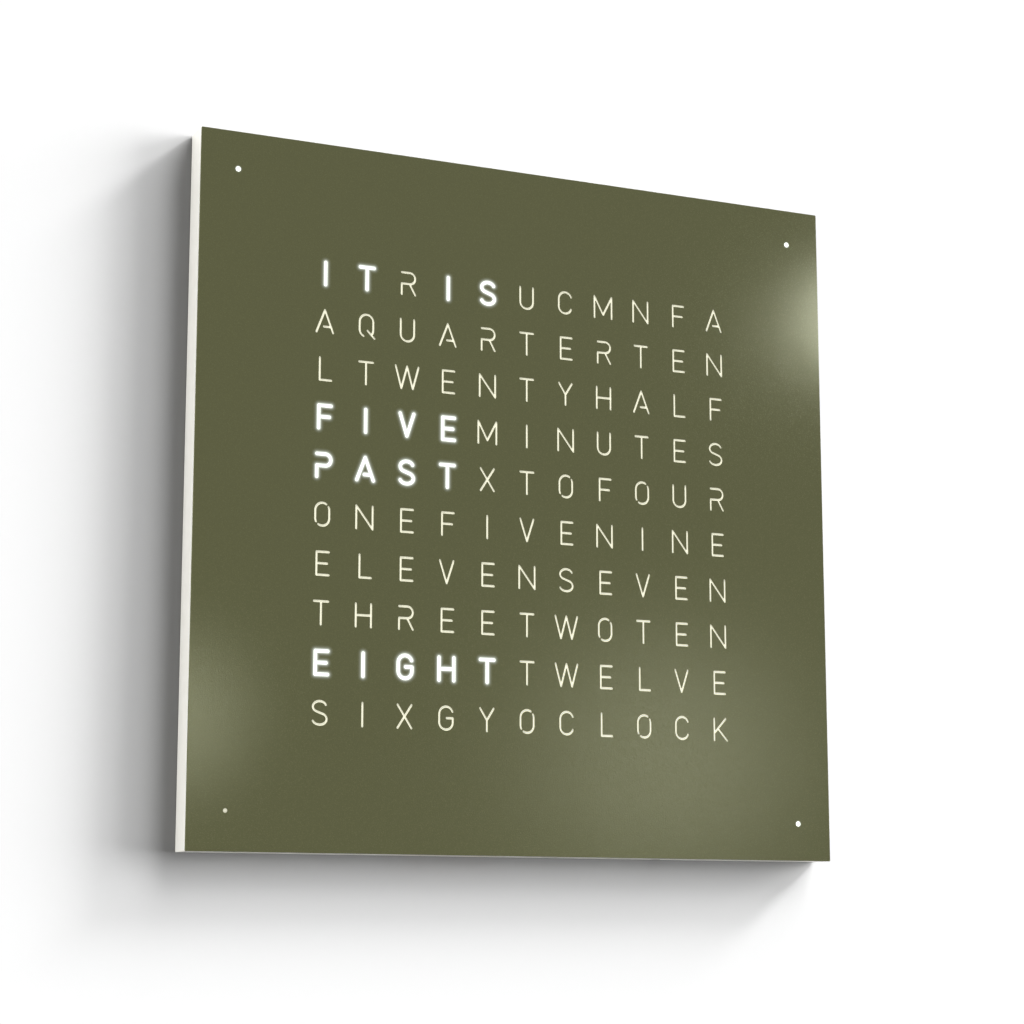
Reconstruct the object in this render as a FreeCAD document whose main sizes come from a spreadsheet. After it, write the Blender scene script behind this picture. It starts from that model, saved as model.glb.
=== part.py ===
"""Wall-hung word clock: a routed fibreboard casing with a letter light box and a thin steel cover.

Frame, in millimetres: the origin is the centre of the casing's back face. +X points right, +Z up, and
+Y into the wall, so the cover faces -Y. A "level" is a distance in front of the wall: level n is y = -n.
"""
import FreeCAD, Part
import os
import re

import Sketcher

V = FreeCAD.Vector

# Driving sizes in millimetres. Each one is a named cell of the sheet.
SIZES = {
    # outside
    "border": 69.68,  # from the letter field to the left and right edges; the clock is square
    "casing_sheet": 19.0,  # thickness of the fibreboard
    "cover_sheet": 1.0,  # thickness of the steel cover
    "casing_edge": 0.4,  # chamfer on the casing's front and back edges
    "cover_corner": 0.8,  # radius of the cover's corners
    "fit_gap": 0.3,  # clearance round each piece that drops into a pocket
    "overcut": 1.0,  # how far a cut runs past the edge that it opens
    # letter field
    "columns": 11,
    "rows": 10,
    "column_pitch": 28.24,
    "row_pitch": 31.0,
    # corner dots
    "dot_inset": 24.5,  # from the cover's edges
    "dot_hole": 3.0,
    "lens_gap": 0.05,  # round each light plug in its hole
    # light box, from the cover inwards
    "film_gap": 0.2,
    "film_sheet": 0.8,
    "grid_depth": 8.0,
    "board_sheet": 1.6,
    "grid_rim": 8.0,  # solid border round the cells
    "rib": 1.6,  # wall between two cells at their mouths
    "draft": 0.5,  # each wall's side leans out by this much towards the board
    "grid_corner": 4.0,  # chamfer on the corners of grid and LED board
    "router_corner": 3.0,  # radius that the cutter leaves in the light box's corners
    "led_side": 5.0,
    "led_depth": 1.5,
    # corner lights
    "cup_side": 16.0,
    "cup_clip": 2.5,  # clipped corners of the cup and of the board and diffuser with it
    "cup_mouth": 13.0,
    "cup_throat": 7.0,
    "lead_width": 3.0,
    "lead_sheet": 0.6,
    # what holds the cover
    "magnet_length": 20.0,
    "magnet_width": 6.0,
    "magnet_depth": 3.0,
    "magnet_gap": 0.1,
    "rim_inset": 30.0,  # magnets and studs, from the casing's edges
    "magnet_along": 90.0,  # magnets, from the middle of each side
    "stud_dia": 4.0,
    "stud_length": 4.0,
    "stud_play": 0.3,
    # screws
    "screw_dia": 2.6,
    "screw_head": 5.0,
    "head_depth": 1.4,
    "screw_play": 0.2,  # round a screw in the piece that it clamps
    "pilot_play": 0.05,  # round a screw in the fibreboard
    "screw_bite": 5.0,  # length in the fibreboard
    "grid_seat": 3.0,  # depth of the open seats for screw heads at the grid's corners
    # electronics bay, cut from the back
    "bay_left": 100.0,
    "bay_right": 60.0,
    "box_wall": 5.7,  # between the light box and the bay
    "bottom_wall": 11.0,
    "front_skin": 6.0,
    "cover_lip": 6.0,  # ledge round the bay that the rear cover sits on
    "rear_cover_sheet": 1.5,
    "rear_cover_corner": 2.0,  # chamfer
    "tunnel_width": 40.0,  # way for the ribbon between the bay and the light box
    "tunnel_reach": 23.0,  # above the bay's top edge
    "cover_reach": 9.0,  # rear cover, above the tunnel
    # inlet bay and way out for the lead
    "partition": 4.0,
    "inlet_width": 48.0,
    "inlet_wall": 18.0,  # between the inlet bay and the lower edge
    "inlet_height": 28.0,
    "channel_width": 8.0,
    "channel_depth": 8.0,
    "channel_inset": 6.0,  # from the inlet bay's far wall
    # control board
    "spacer_length": 2.0,  # the board stands this far off the bay's floor
    "clip_width": 6.0,  # snap-over spacers at the board's ends
    "clip_wall": 1.2,
    "clip_foot": 5.0,
    "clip_lip": 0.8,
    "clip_slope": 1.0,
    "clip_inset": 4.0,  # from the board's upper and lower edges
    "board_margin": 3.4,  # between the control board and the bay's walls
    "jack_length": 14.0,
    "jack_width": 9.0,
    "jack_height": 6.4,
    "jack_bore": 5.4,
    "jack_bore_depth": 9.5,
    "jack_pin": 2.0,
    "jack_pin_length": 8.0,
    "jack_proud": 0.5,  # of the partition, into the inlet bay
    "jack_shoulder": 1.0,  # radius of its two long outer edges
    "header_width": 24.0,
    "header_length": 5.0,
    "header_inset": 2.0,
    "ribbon_level": 5.4,
    "ribbon_sheet": 0.8,
    "ribbon_width": 20.0,
    # buttons, each in its own frame: up from the middle of the cap's outer face
    "button_inset": 16.6,  # first button, from the control board's left edge
    "button_pitch": 20.0,
    "button_width": 8.0,
    "button_depth": 4.0,
    "button_play": 0.3,
    "button_recess": 0.2,
    "button_edge": 0.4,  # bevel round the cap's face
    "flange_lip": 1.2,  # flange, beyond the cap's sides
    "flange_sheet": 1.2,
    "nose_side": 3.0,
    "nose_length": 1.0,
    "finger_width": 8.0,  # long finger groove in the underside, round all the buttons
    "finger_depth": 1.0,
    "finger_end": 4.0,  # groove, beyond the first and last button
    "plunger_side": 2.4,
    "plunger_out": 2.0,
    "plunger_in": 1.6,
    "plunger_play": 0.2,
    "plunger_travel": 1.4,  # room behind the plunger in its switch
    "switch_width": 7.0,
    "switch_length": 4.4,
    "switch_height": 6.0,
    # coin cell in its holder
    "cell_inset": 18.6,  # its centre, from the control board's left edge
    "cell_dia": 20.0,
    "cell_sheet": 3.2,
    "cell_gap": 0.25,
    "holder_wall": 1.4,
    "holder_floor": 1.0,
    "holder_width": 15.0,  # narrower than the cell, which can be pushed out
    # chips in a row beside the coin cell
    "chip_gap": 4.0,
    "chip_bevel": 0.3,
    "controller_side": 10.0,
    "controller_depth": 1.4,
    "crystal_length": 11.0,
    "crystal_width": 4.4,
    "crystal_depth": 3.4,
    "crystal_end": 1.4,  # chamfer on its corners
    "driver_side": 6.0,
    "driver_depth": 1.0,
    "driver_pitch": 11.0,
    "drivers": 3,
    "capacitor_dia": 6.3,
    "capacitor_base": 6.6,
    "capacitor_foot": 1.0,
    "capacitor_depth": 5.6,
    # keyhole plates
    "hanger_inset": 75.0,  # keyholes, from the casing's sides
    "hanger_drop": 40.0,  # middle of each plate, below the top edge
    "hanger_width": 44.0,
    "hanger_height": 30.0,
    "hanger_sheet": 1.5,
    "hanger_corner": 3.0,  # chamfer
    "keyhole_dia": 9.0,
    "keyhole_slot": 4.6,
    "keyhole_rise": 9.0,
    "hanger_screw_reach": 16.0,  # from the keyhole to each of the plate's screws
    "head_room": 6.0,  # depth of the pocket behind the plate
    "head_room_width": 12.0,
    "head_room_end": 1.5,  # pocket, beyond the keyhole's ends
    # wall pads
    "pad_inset": 17.0,
    "pad_side": 12.0,
    "pad_sheet": 1.5,
    "pad_proud": 0.5,
    "pad_gap": 0.2,
}

# Places worked out from the sizes.
PLACES = {
    "side": "column_pitch * columns + 2 * border",
    "half": "side / 2",
    "dot_reach": "half - dot_inset",
    "rim_reach": "half - rim_inset",
    "pad_reach": "half - pad_inset",
    # levels
    "film_front": "casing_sheet - film_gap",
    "film_back": "film_front - film_sheet",
    "board_front": "film_back - grid_depth",
    "box_floor": "board_front - board_sheet",
    "bay_floor": "casing_sheet - front_skin",
    "control_front": "bay_floor - spacer_length",
    "control_back": "control_front - board_sheet",
    # light box
    "field_across": "column_pitch * (columns - 1)",
    "field_up": "row_pitch * (rows - 1)",
    "grid_half_x": "column_pitch * columns / 2 + grid_rim",
    "grid_half_z": "row_pitch * rows / 2 + grid_rim",
    "rim_screw_x": "grid_half_x - grid_rim / 2",
    "rim_screw_z": "grid_half_z - grid_rim / 2",
    "cup_recess": "cup_side + 2 * fit_gap",
    # electronics bay
    "bay_top": "grid_half_z + fit_gap + box_wall",
    "bay_bottom": "half - bottom_wall",
    "tunnel_top": "bay_top - tunnel_reach",
    "rear_cover_top": "tunnel_top - cover_reach",
    "rear_cover_left": "bay_left + cover_lip - fit_gap",
    "rear_cover_bottom": "bay_bottom + cover_lip - fit_gap",
    "rear_screw_left": "bay_left + cover_lip / 2",
    "rear_screw_bottom": "bay_bottom + cover_lip / 2",
    "rear_screw_top": "rear_cover_top + cover_lip / 2",
    "rear_screw_right": "bay_right - cover_lip / 2",
    "inlet_left": "bay_right + partition",
    "inlet_right": "inlet_left + inlet_width",
    "inlet_bottom": "half - inlet_wall",
    "inlet_top": "inlet_bottom - inlet_height",
    "inlet_middle": "inlet_bottom - inlet_height / 2",
    "channel_right": "inlet_right - channel_inset",
    # control board
    "control_left": "bay_left - board_margin",
    "control_right": "bay_right - board_margin",
    "control_top": "bay_top + board_margin",
    "control_bottom": "bay_bottom - board_margin",
    "control_middle": "(control_top + control_bottom) / 2",
    "jack_end": "inlet_left + jack_proud",
    "jack_level": "control_back - jack_height / 2",
    "holder_length": "cell_dia + 2 * (cell_gap + holder_wall)",
    "cell_x": "-(control_left - cell_inset)",
    "controller_x": "cell_x + holder_length / 2 + chip_gap + controller_side / 2",
    "crystal_x": "controller_x + controller_side / 2 + chip_gap + crystal_length / 2",
    "driver_x": "crystal_x + crystal_length / 2 + chip_gap + driver_side / 2",
    "capacitor_x": "driver_x + (drivers - 1) * driver_pitch + driver_side / 2 + chip_gap + capacitor_base / 2",
    # screws
    "clear_hole": "screw_dia + 2 * screw_play",
    "pilot_hole": "screw_dia + 2 * pilot_play",
    "head_seat": "screw_head + 2 * screw_play",
    # buttons
    "button_level": "control_back - switch_height / 2",
    "button_x": "-(control_left - button_inset)",
    "flange_start": "bottom_wall - button_recess",
    "nose_start": "flange_start + flange_sheet",
    "plunger_start": "nose_start + nose_length",
    "switch_start": "plunger_start + plunger_out",
    "plunger_end": "switch_start + plunger_in",
    "button_face": "half - button_recess",
    # hangers
    "hanger_reach": "half - hanger_inset",
    "hanger_up": "half - hanger_drop",
    "keyhole_entry": "hanger_up - keyhole_rise / 2",
    "keyhole_end": "hanger_up + keyhole_rise / 2",
}

BUTTONS = ["hour", "minute", "brightness", "mode"]
GAPS_BETWEEN_BUTTONS = len(BUTTONS) - 1

CLOSE = 1e-4  # lengths nearer than this count as equal
UNUSED = "1"  # the distance between copies where there is only one


def centred(across, up, columns, rows):
    """A layout that lies evenly round the centre: its first place is left and low."""
    return across, up, f"max(-2 * ({across}); {UNUSED})", columns, f"max(-2 * ({up}); {UNUSED})", rows


# Repeated places: the first place, then the distance and the count to the right, and upwards.
CORNER_DOTS = [centred("-dot_reach", "-dot_reach", "2", "2")]
CORNER_PADS = [centred("-pad_reach", "-pad_reach", "2", "2")]
RIM_SCREWS = [centred("-rim_screw_x", "-rim_screw_z", "2", "2")]
MAGNETS_ABOVE_AND_BELOW = [centred("-magnet_along", "-rim_reach", "2", "2")]
MAGNETS_AT_THE_SIDES = [centred("-rim_reach", "-magnet_along", "2", "2")]
STUDS = [centred("-rim_reach", "0", "2", "1")]
CELLS = [centred("-field_across / 2", "-field_up / 2", "columns", "rows")]
REAR_SCREWS = [
    ("-rear_screw_left", "-rear_screw_top", UNUSED, "1", UNUSED, "1"),
    ("rear_screw_right", "-rear_screw_bottom", UNUSED, "1", UNUSED, "1"),
]
HANGER_SCREWS = [
    (f"{side}hanger_reach - hanger_screw_reach", "hanger_up", "2 * hanger_screw_reach", "2", UNUSED, "1")
    for side in ("-", "")
]

doc = FreeCAD.newDocument("word_clock")
sheet = doc.addObject("Spreadsheet::Sheet", "Sizes")
for row, (name, size) in enumerate(SIZES.items(), 1):
    sheet.set(f"A{row}", name)
    sheet.set(f"B{row}", str(size))
    sheet.setAlias(f"B{row}", name)
doc.recompute()


# ---------------------------------------------------------------- formulas


def formula(text):
    """The same formula with each place opened up and each size read from the sheet."""

    def swap(found):
        word = found.group()
        if word in PLACES:
            return "(" + formula(PLACES[word]) + ")"
        return "Sizes." + word if word in SIZES else word

    return re.sub(r"[a-z_]+", swap, text)


def bind(thing, prop, text):
    thing.setExpression(prop, formula(text))


# ---------------------------------------------------------------- drawing


def new_body(name):
    body = doc.addObject("PartDesign::Body", name)
    body.Label = name
    return body


def origin(body, role):
    return next(item for item in body.Origin.OriginFeatures if item.Role == role)


def sketch(body, level="0", plane="XZ_Plane", turn=0):
    """A sketch on one of the body's own planes. XZ_Plane faces -Y, so there `level` is in front of the wall."""
    drawing = body.newObject("Sketcher::SketchObject", body.Name + "_sketch")
    drawing.AttachmentSupport = [(origin(body, plane), "")]
    drawing.MapMode = "FlatFace"
    drawing.AttachmentOffset = FreeCAD.Placement(V(), FreeCAD.Rotation(V(0, 0, 1), turn))
    bind(drawing, "AttachmentOffset.Base.z", level)
    return drawing


def hold(drawing, constraint, text):
    """Add a constraint whose value follows a formula."""
    index = drawing.addConstraint(constraint)
    bind(drawing, f"Constraints[{index}]", text)


def outline(drawing, corners):
    """A closed run of straight lines through corners, each given as two formulas."""
    count = len(corners)
    first = drawing.GeometryCount
    spots = [FreeCAD.Rotation(V(0, 0, 1), 360 * i / count).multVec(V(5, 0, 0)) for i in range(count)]
    for i in range(count):
        drawing.addGeometry(Part.LineSegment(spots[i], spots[(i + 1) % count]))
    for i in range(count):
        drawing.addConstraint(Sketcher.Constraint("Coincident", first + i, 2, first + (i + 1) % count, 1))
    for i, (across, up) in enumerate(corners):
        hold(drawing, Sketcher.Constraint("DistanceX", -1, 1, first + i, 1, 5.0), across)
        hold(drawing, Sketcher.Constraint("DistanceY", -1, 1, first + i, 1, 5.0), up)


def rectangle(drawing, left, bottom, right, top):
    outline(drawing, [(left, bottom), (right, bottom), (right, top), (left, top)])


def middle_rectangle(drawing, across, up, width, height):
    x, z = f"({width}) / 2", f"({height}) / 2"
    rectangle(drawing, f"{across} - {x}", f"{up} - {z}", f"{across} + {x}", f"{up} + {z}")


def clipped_rectangle(drawing, across, up, width, height, clip):
    """A rectangle round a middle, with its corners cut off at 45 degrees."""
    x, z = f"({width}) / 2", f"({height}) / 2"
    near_x, near_z = f"({x} - {clip})", f"({z} - {clip})"
    runs = [(near_x, "-" + z), (x, "-" + near_z), (x, near_z), (near_x, z)]
    runs += [("-" + near_x, z), ("-" + x, near_z), ("-" + x, "-" + near_z), ("-" + near_x, "-" + z)]
    outline(drawing, [(f"{across} + ({x})", f"{up} + ({z})") for x, z in runs])


def circle(drawing, across, up, diameter):
    index = drawing.addGeometry(Part.Circle(V(5, 5, 0), V(0, 0, 1), 2))
    hold(drawing, Sketcher.Constraint("DistanceX", -1, 1, index, 3, 5.0), across)
    hold(drawing, Sketcher.Constraint("DistanceY", -1, 1, index, 3, 5.0), up)
    hold(drawing, Sketcher.Constraint("Diameter", index, 4.0), diameter)


# ---------------------------------------------------------------- features


def pad(body, drawing, length):
    """Add material along the sketch's normal: towards the viewer for a sketch at a level."""
    feature = body.newObject("PartDesign::Pad", body.Name + "_pad")
    feature.Refine = False
    feature.Profile = drawing
    bind(feature, "Length", length)
    doc.recompute()
    return feature


def pocket(body, drawing, depth, forward=False):
    """Cut from the sketch towards the wall, or forwards, and make sure that something was cut."""
    before = body.Shape.Volume
    feature = body.newObject("PartDesign::Pocket", body.Name + "_pocket")
    feature.Refine = False
    feature.Profile = drawing
    feature.Reversed = forward
    bind(feature, "Length", depth)
    doc.recompute()
    if body.Shape.Volume > before - CLOSE:
        raise RuntimeError(f"{feature.Name} cuts nothing")
    return feature


def slab(body, left, bottom, right, top, level, length):
    """A rectangular block that starts at a level and grows towards the viewer."""
    drawing = sketch(body, level)
    rectangle(drawing, left, bottom, right, top)
    return pad(body, drawing, length)


def block(body, across, up, width, height, level, length):
    """A rectangular block round a middle that starts at a level and grows towards the viewer."""
    drawing = sketch(body, level)
    middle_rectangle(drawing, across, up, width, height)
    return pad(body, drawing, length)


def recess(body, across, up, width, height, level, depth, forward=False):
    """A rectangular cut round a middle."""
    drawing = sketch(body, level)
    middle_rectangle(drawing, across, up, width, height)
    return pocket(body, drawing, depth, forward)


def disc(body, across, up, diameter, level, length):
    """A round block that starts at a level and grows towards the viewer."""
    drawing = sketch(body, level)
    circle(drawing, across, up, diameter)
    return pad(body, drawing, length)


def bore(body, across, up, diameter, level, depth, forward=False):
    drawing = sketch(body, level)
    circle(drawing, across, up, diameter)
    return pocket(body, drawing, depth, forward)


def revolve(body, drawing, axis, cut=False):
    kind = "Groove" if cut else "Revolution"
    feature = body.newObject("PartDesign::" + kind, f"{body.Name}_{kind.lower()}")
    feature.Profile = drawing
    feature.ReferenceAxis = (drawing, [axis])
    feature.Angle = 360
    feature.Refine = False
    doc.recompute()
    return feature


def turned_deep(body, across, up, corners, cut=False):
    """A profile of (radius, level) corners turned about a front-to-back line: a solid, or a groove."""
    drawing = sketch(body, up, "XY_Plane")
    outline(drawing, [(f"{across} + {radius}", f"-({level})") for radius, level in corners])
    axis = drawing.addGeometry(Part.LineSegment(V(0, 0, 0), V(0, -10, 0)), True)
    for point, depth in ((1, "0"), (2, "-10")):
        hold(drawing, Sketcher.Constraint("DistanceX", -1, 1, axis, point, 5.0), across)
        hold(drawing, Sketcher.Constraint("DistanceY", -1, 1, axis, point, 5.0), depth)
    return revolve(body, drawing, "Axis0", cut)


def spread(body, features, across, columns, up=UNUSED, rows="1"):
    """Repeat features to the right and upwards, over the two given total distances."""
    pattern = body.newObject("PartDesign::LinearPattern", body.Name + "_spread")
    pattern.Refine = False
    pattern.Originals = features
    pattern.Direction = (origin(body, "X_Axis"), [""])
    pattern.Direction2 = (origin(body, "Z_Axis"), [""])
    pattern.Mode = "Extent"
    pattern.Mode2 = "Extent"
    bind(pattern, "Length", across)
    bind(pattern, "Length2", up)
    bind(pattern, "Occurrences", columns)
    bind(pattern, "Occurrences2", rows)
    body.Tip = pattern
    doc.recompute()


def repeat(body, layout, make):
    """For each row of a layout make features at its first place, and repeat them over the others."""
    for across, up, distance, columns, rise, rows in layout:
        spread(body, make(across, up), distance, columns, rise, rows)


def around(body, features):
    """Repeat features four times round the clock's front-to-back axis."""
    pattern = body.newObject("PartDesign::PolarPattern", body.Name + "_around")
    pattern.Refine = False
    pattern.Originals = features
    pattern.Axis = (origin(body, "Y_Axis"), [""])
    pattern.Angle = 360
    pattern.Occurrences = 4
    body.Tip = pattern
    doc.recompute()


def soften(body, kind, size, wanted):
    """Fillet or chamfer the edges for which `wanted` holds."""
    names = [f"Edge{i}" for i, edge in enumerate(body.Shape.Edges, 1) if wanted(edge)]
    if not names:
        raise RuntimeError(f"no edge of {body.Name} to soften")
    base = body.Tip
    feature = body.newObject("PartDesign::" + kind, f"{body.Name}_{kind.lower()}")
    feature.Base = (base, names)
    bind(feature, "Radius" if kind == "Fillet" else "Size", size)
    doc.recompute()
    return feature


def runs_deep(edge):
    """True for a straight edge along Y."""
    return edge.Curve.TypeId == "Part::GeomLine" and abs(edge.tangentAt(edge.FirstParameter).y) > 0.999


def is_outermost(edge, body):
    """True for an edge that lies wholly in the face of a body that is nearest to the wall."""
    box = edge.BoundBox
    return box.YLength < CLOSE and abs(box.YMax - body.Shape.BoundBox.YMax) < CLOSE


def lies_across(edge):
    """True for an edge that lies wholly at one level."""
    return edge.BoundBox.YLength < CLOSE


# ---------------------------------------------------------------- cover


def make_front_cover():
    """Thin square steel sheet with a light hole in each corner."""
    body = new_body("front_cover")
    slab(body, "-half", "-half", "half", "half", "casing_sheet", "cover_sheet")
    soften(body, "Fillet", "cover_corner", runs_deep)
    repeat(
        body,
        CORNER_DOTS,
        lambda x, z: [bore(body, x, z, "dot_hole", "casing_sheet + cover_sheet", "cover_sheet")],
    )


def make_dot_lenses():
    """Four clear plugs, flush in the cover's corner holes."""
    body = new_body("dot_lenses")
    repeat(
        body,
        CORNER_DOTS,
        lambda x, z: [disc(body, x, z, "dot_hole - 2 * lens_gap", "casing_sheet", "cover_sheet")],
    )


# ---------------------------------------------------------------- casing


def cut_light_box(body):
    """The recess for the light grid, with a small recess and a lead groove towards each corner."""
    depth = "casing_sheet - box_floor"
    width, height = "2 * (grid_half_x + fit_gap)", "2 * (grid_half_z + fit_gap)"
    recess(body, "0", "0", width, height, "casing_sheet", depth)

    def in_the_recess(edge):
        return runs_deep(edge) and abs(edge.BoundBox.Center.x) < body.Shape.BoundBox.XMax - CLOSE

    soften(body, "Fillet", "router_corner", in_the_recess)
    repeat(
        body,
        CORNER_DOTS,
        lambda x, z: [recess(body, x, z, "cup_recess", "cup_recess", "casing_sheet", depth)],
    )
    # each groove starts inside the large recess, on its diagonal, and ends in the small one
    groove = sketch(body, "casing_sheet", turn=45)
    side = "lead_width / 2 + fit_gap"
    rectangle(groove, "(grid_half_x + grid_half_z) / 2", f"-({side})", "dot_reach * sqrt(2)", side)
    around(body, [pocket(body, groove, depth)])


def cut_cover_seats(body):
    """Blind seats in the front rim for the magnets and for the cover's studs."""
    length, width = "magnet_length + 2 * magnet_gap", "magnet_width + 2 * magnet_gap"
    for layout, across, up in (
        (MAGNETS_ABOVE_AND_BELOW, length, width),
        (MAGNETS_AT_THE_SIDES, width, length),
    ):
        depth = "magnet_depth + magnet_gap"
        repeat(body, layout, lambda x, z: [recess(body, x, z, across, up, "casing_sheet", depth)])
    diameter, depth = "stud_dia + 2 * stud_play", "stud_length + stud_play"
    repeat(body, STUDS, lambda x, z: [bore(body, x, z, diameter, "casing_sheet", depth)])


def cut_from_back(body, left, bottom, right, top, depth, level="0"):
    drawing = sketch(body, level)
    rectangle(drawing, left, bottom, right, top)
    return pocket(body, drawing, depth, forward=True)


def cut_electronics_bay(body):
    """The deep bay, the ledge for its cover, the ribbon tunnel, and the inlet bay with its way out."""
    cut_from_back(
        body,
        "-(rear_cover_left + fit_gap)",
        "-(rear_cover_bottom + fit_gap)",
        "inlet_left + overcut",
        "-(rear_cover_top - fit_gap)",
        "rear_cover_sheet",
    )
    cut_from_back(body, "-bay_left", "-bay_bottom", "bay_right", "-bay_top", "bay_floor")
    cut_from_back(
        body, "-tunnel_width / 2", "-(bay_top + overcut)", "tunnel_width / 2", "-tunnel_top", "box_floor"
    )
    cut_from_back(body, "inlet_left", "-inlet_bottom", "inlet_right", "-inlet_top", "bay_floor")
    cut_from_back(
        body,
        "bay_right - overcut",
        "-(inlet_middle + jack_width / 2 + fit_gap)",
        "inlet_left + overcut",
        "-(inlet_middle - jack_width / 2 - fit_gap)",
        "control_back + fit_gap",
    )
    cut_from_back(
        body,
        "channel_right - channel_width",
        "-(half + overcut)",
        "channel_right",
        "-(inlet_bottom - overcut)",
        "channel_depth",
    )


def cut_button_holes(body):
    """A long finger groove in the underside, and from it a guide for each button through the bottom wall."""
    groove = sketch(body, "-half", "XY_Plane")
    reach = "button_width / 2 + finger_end"
    rectangle(
        groove,
        f"button_x - ({reach})",
        "-(button_level + finger_width / 2)",
        f"button_x + {GAPS_BETWEEN_BUTTONS} * button_pitch + {reach}",
        "-(button_level - finger_width / 2)",
    )
    pocket(body, groove, "finger_depth", forward=True)
    guide = sketch(body, "-half", "XY_Plane")
    width, depth = "button_width + 2 * button_play", "button_depth + 2 * button_play"
    middle_rectangle(guide, "button_x", "-button_level", width, depth)
    hole = pocket(body, guide, "bottom_wall + overcut", forward=True)
    spread(body, [hole], f"button_pitch * {GAPS_BETWEEN_BUTTONS}", f"{len(BUTTONS)}")


def cut_hanger_seats(body):
    """For each keyhole plate a shallow seat, and behind it room for a screw's head."""
    x, z = "(hanger_width / 2 + fit_gap)", "(hanger_height / 2 + fit_gap)"
    seat = cut_from_back(
        body,
        f"-hanger_reach - {x}",
        f"hanger_up - {z}",
        f"-hanger_reach + {x}",
        f"hanger_up + {z}",
        "hanger_sheet",
    )
    room = cut_from_back(
        body,
        "-hanger_reach - head_room_width / 2",
        "keyhole_entry - keyhole_dia / 2 - head_room_end",
        "-hanger_reach + head_room_width / 2",
        "keyhole_end + keyhole_slot / 2 + head_room_end",
        "head_room",
        "hanger_sheet",
    )
    spread(body, [seat, room], "2 * hanger_reach", "2")


def make_casing():
    """One-piece routed fibreboard casing."""
    body = new_body("casing")
    slab(body, "-half", "-half", "half", "half", "0", "casing_sheet")
    soften(body, "Chamfer", "casing_edge", lies_across)
    cut_light_box(body)
    cut_cover_seats(body)
    cut_electronics_bay(body)
    cut_button_holes(body)
    cut_hanger_seats(body)
    seat = "pad_side + 2 * pad_gap"
    repeat(
        body,
        CORNER_PADS,
        lambda x, z: [recess(body, x, z, seat, seat, "0", "pad_sheet - pad_proud", forward=True)],
    )
    depth = "head_depth + screw_bite + pilot_play"
    for layout in (REAR_SCREWS, HANGER_SCREWS):
        repeat(body, layout, lambda x, z: [bore(body, x, z, "pilot_hole", "0", depth, forward=True)])
    repeat(
        body,
        RIM_SCREWS,
        lambda x, z: [bore(body, x, z, "pilot_hole", "box_floor", "screw_bite + pilot_play")],
    )


def make_cover_studs():
    """Steel studs on the cover's back that find their sockets in the casing's rim."""
    body = new_body("cover_studs")
    start = "casing_sheet - stud_length"
    repeat(body, STUDS, lambda x, z: [disc(body, x, z, "stud_dia", start, "stud_length")])


def make_cover_magnets():
    """Block magnets sunk in the casing's rim, two along each side."""
    body = new_body("cover_magnets")
    start = "casing_sheet - magnet_gap - magnet_depth"
    for layout, width, height in (
        (MAGNETS_ABOVE_AND_BELOW, "magnet_length", "magnet_width"),
        (MAGNETS_AT_THE_SIDES, "magnet_width", "magnet_length"),
    ):
        repeat(body, layout, lambda x, z: [block(body, x, z, width, height, start, "magnet_depth")])


# ---------------------------------------------------------------- light box


def funnel(body, x, z, mouths, backs):
    """A square hole that opens out from the LED board towards the film."""
    feature = body.newObject("PartDesign::SubtractiveWedge", body.Name + "_funnel")
    bind(feature, "Placement.Base.x", x)
    bind(feature, "Placement.Base.z", z)
    bind(feature, "Ymin", "-film_back")
    bind(feature, "Ymax", "-board_front")
    for axis, mouth, back in zip("XZ", mouths, backs):
        bind(feature, f"{axis}min", f"-({mouth}) / 2")
        bind(feature, f"{axis}max", f"({mouth}) / 2")
        bind(feature, f"{axis}2min", f"-({back}) / 2")
        bind(feature, f"{axis}2max", f"({back}) / 2")
    doc.recompute()
    return feature


def make_light_grid():
    """Moulded white grid of thin drafted walls: a cell in front of each LED, in a solid rim."""
    body = new_body("light_grid")
    slab(body, "-grid_half_x", "-grid_half_z", "grid_half_x", "grid_half_z", "board_front", "grid_depth")
    soften(body, "Chamfer", "grid_corner", runs_deep)
    repeat(body, RIM_SCREWS, lambda x, z: [bore(body, x, z, "clear_hole", "film_back", "grid_depth")])
    repeat(
        body,
        RIM_SCREWS,
        lambda x, z: [recess(body, x, z, "grid_rim", "grid_rim", "film_back", "grid_seat")],
    )
    mouths = ("column_pitch - rib", "row_pitch - rib")
    backs = ("column_pitch - rib - 2 * draft", "row_pitch - rib - 2 * draft")
    repeat(body, CELLS, lambda x, z: [funnel(body, x, z, mouths, backs)])


def make_led_board():
    body = new_body("led_board")
    slab(body, "-grid_half_x", "-grid_half_z", "grid_half_x", "grid_half_z", "box_floor", "board_sheet")
    soften(body, "Chamfer", "grid_corner", runs_deep)
    repeat(body, RIM_SCREWS, lambda x, z: [bore(body, x, z, "clear_hole", "board_front", "board_sheet")])


def make_leds(name, layout):
    """Square LED packages on the front of their board."""
    body = new_body(name)
    repeat(
        body,
        layout,
        lambda x, z: [block(body, x, z, "led_side", "led_side", "board_front", "led_depth")],
    )


def make_diffuser_sheet():
    """Opal film that lies on the grid, under the cover."""
    body = new_body("diffuser_sheet")
    slab(body, "-grid_half_x", "-grid_half_z", "grid_half_x", "grid_half_z", "film_back", "film_sheet")
    soften(body, "Chamfer", "grid_corner", runs_deep)


def corner_tile(body, across, up, level, length):
    """A square tile with clipped corners at a corner dot."""
    drawing = sketch(body, level)
    clipped_rectangle(drawing, across, up, "cup_side", "cup_side", "cup_clip")
    return pad(body, drawing, length)


def make_corner_tiles(name, level, length):
    body = new_body(name)
    repeat(body, CORNER_DOTS, lambda x, z: [corner_tile(body, x, z, level, length)])


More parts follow.
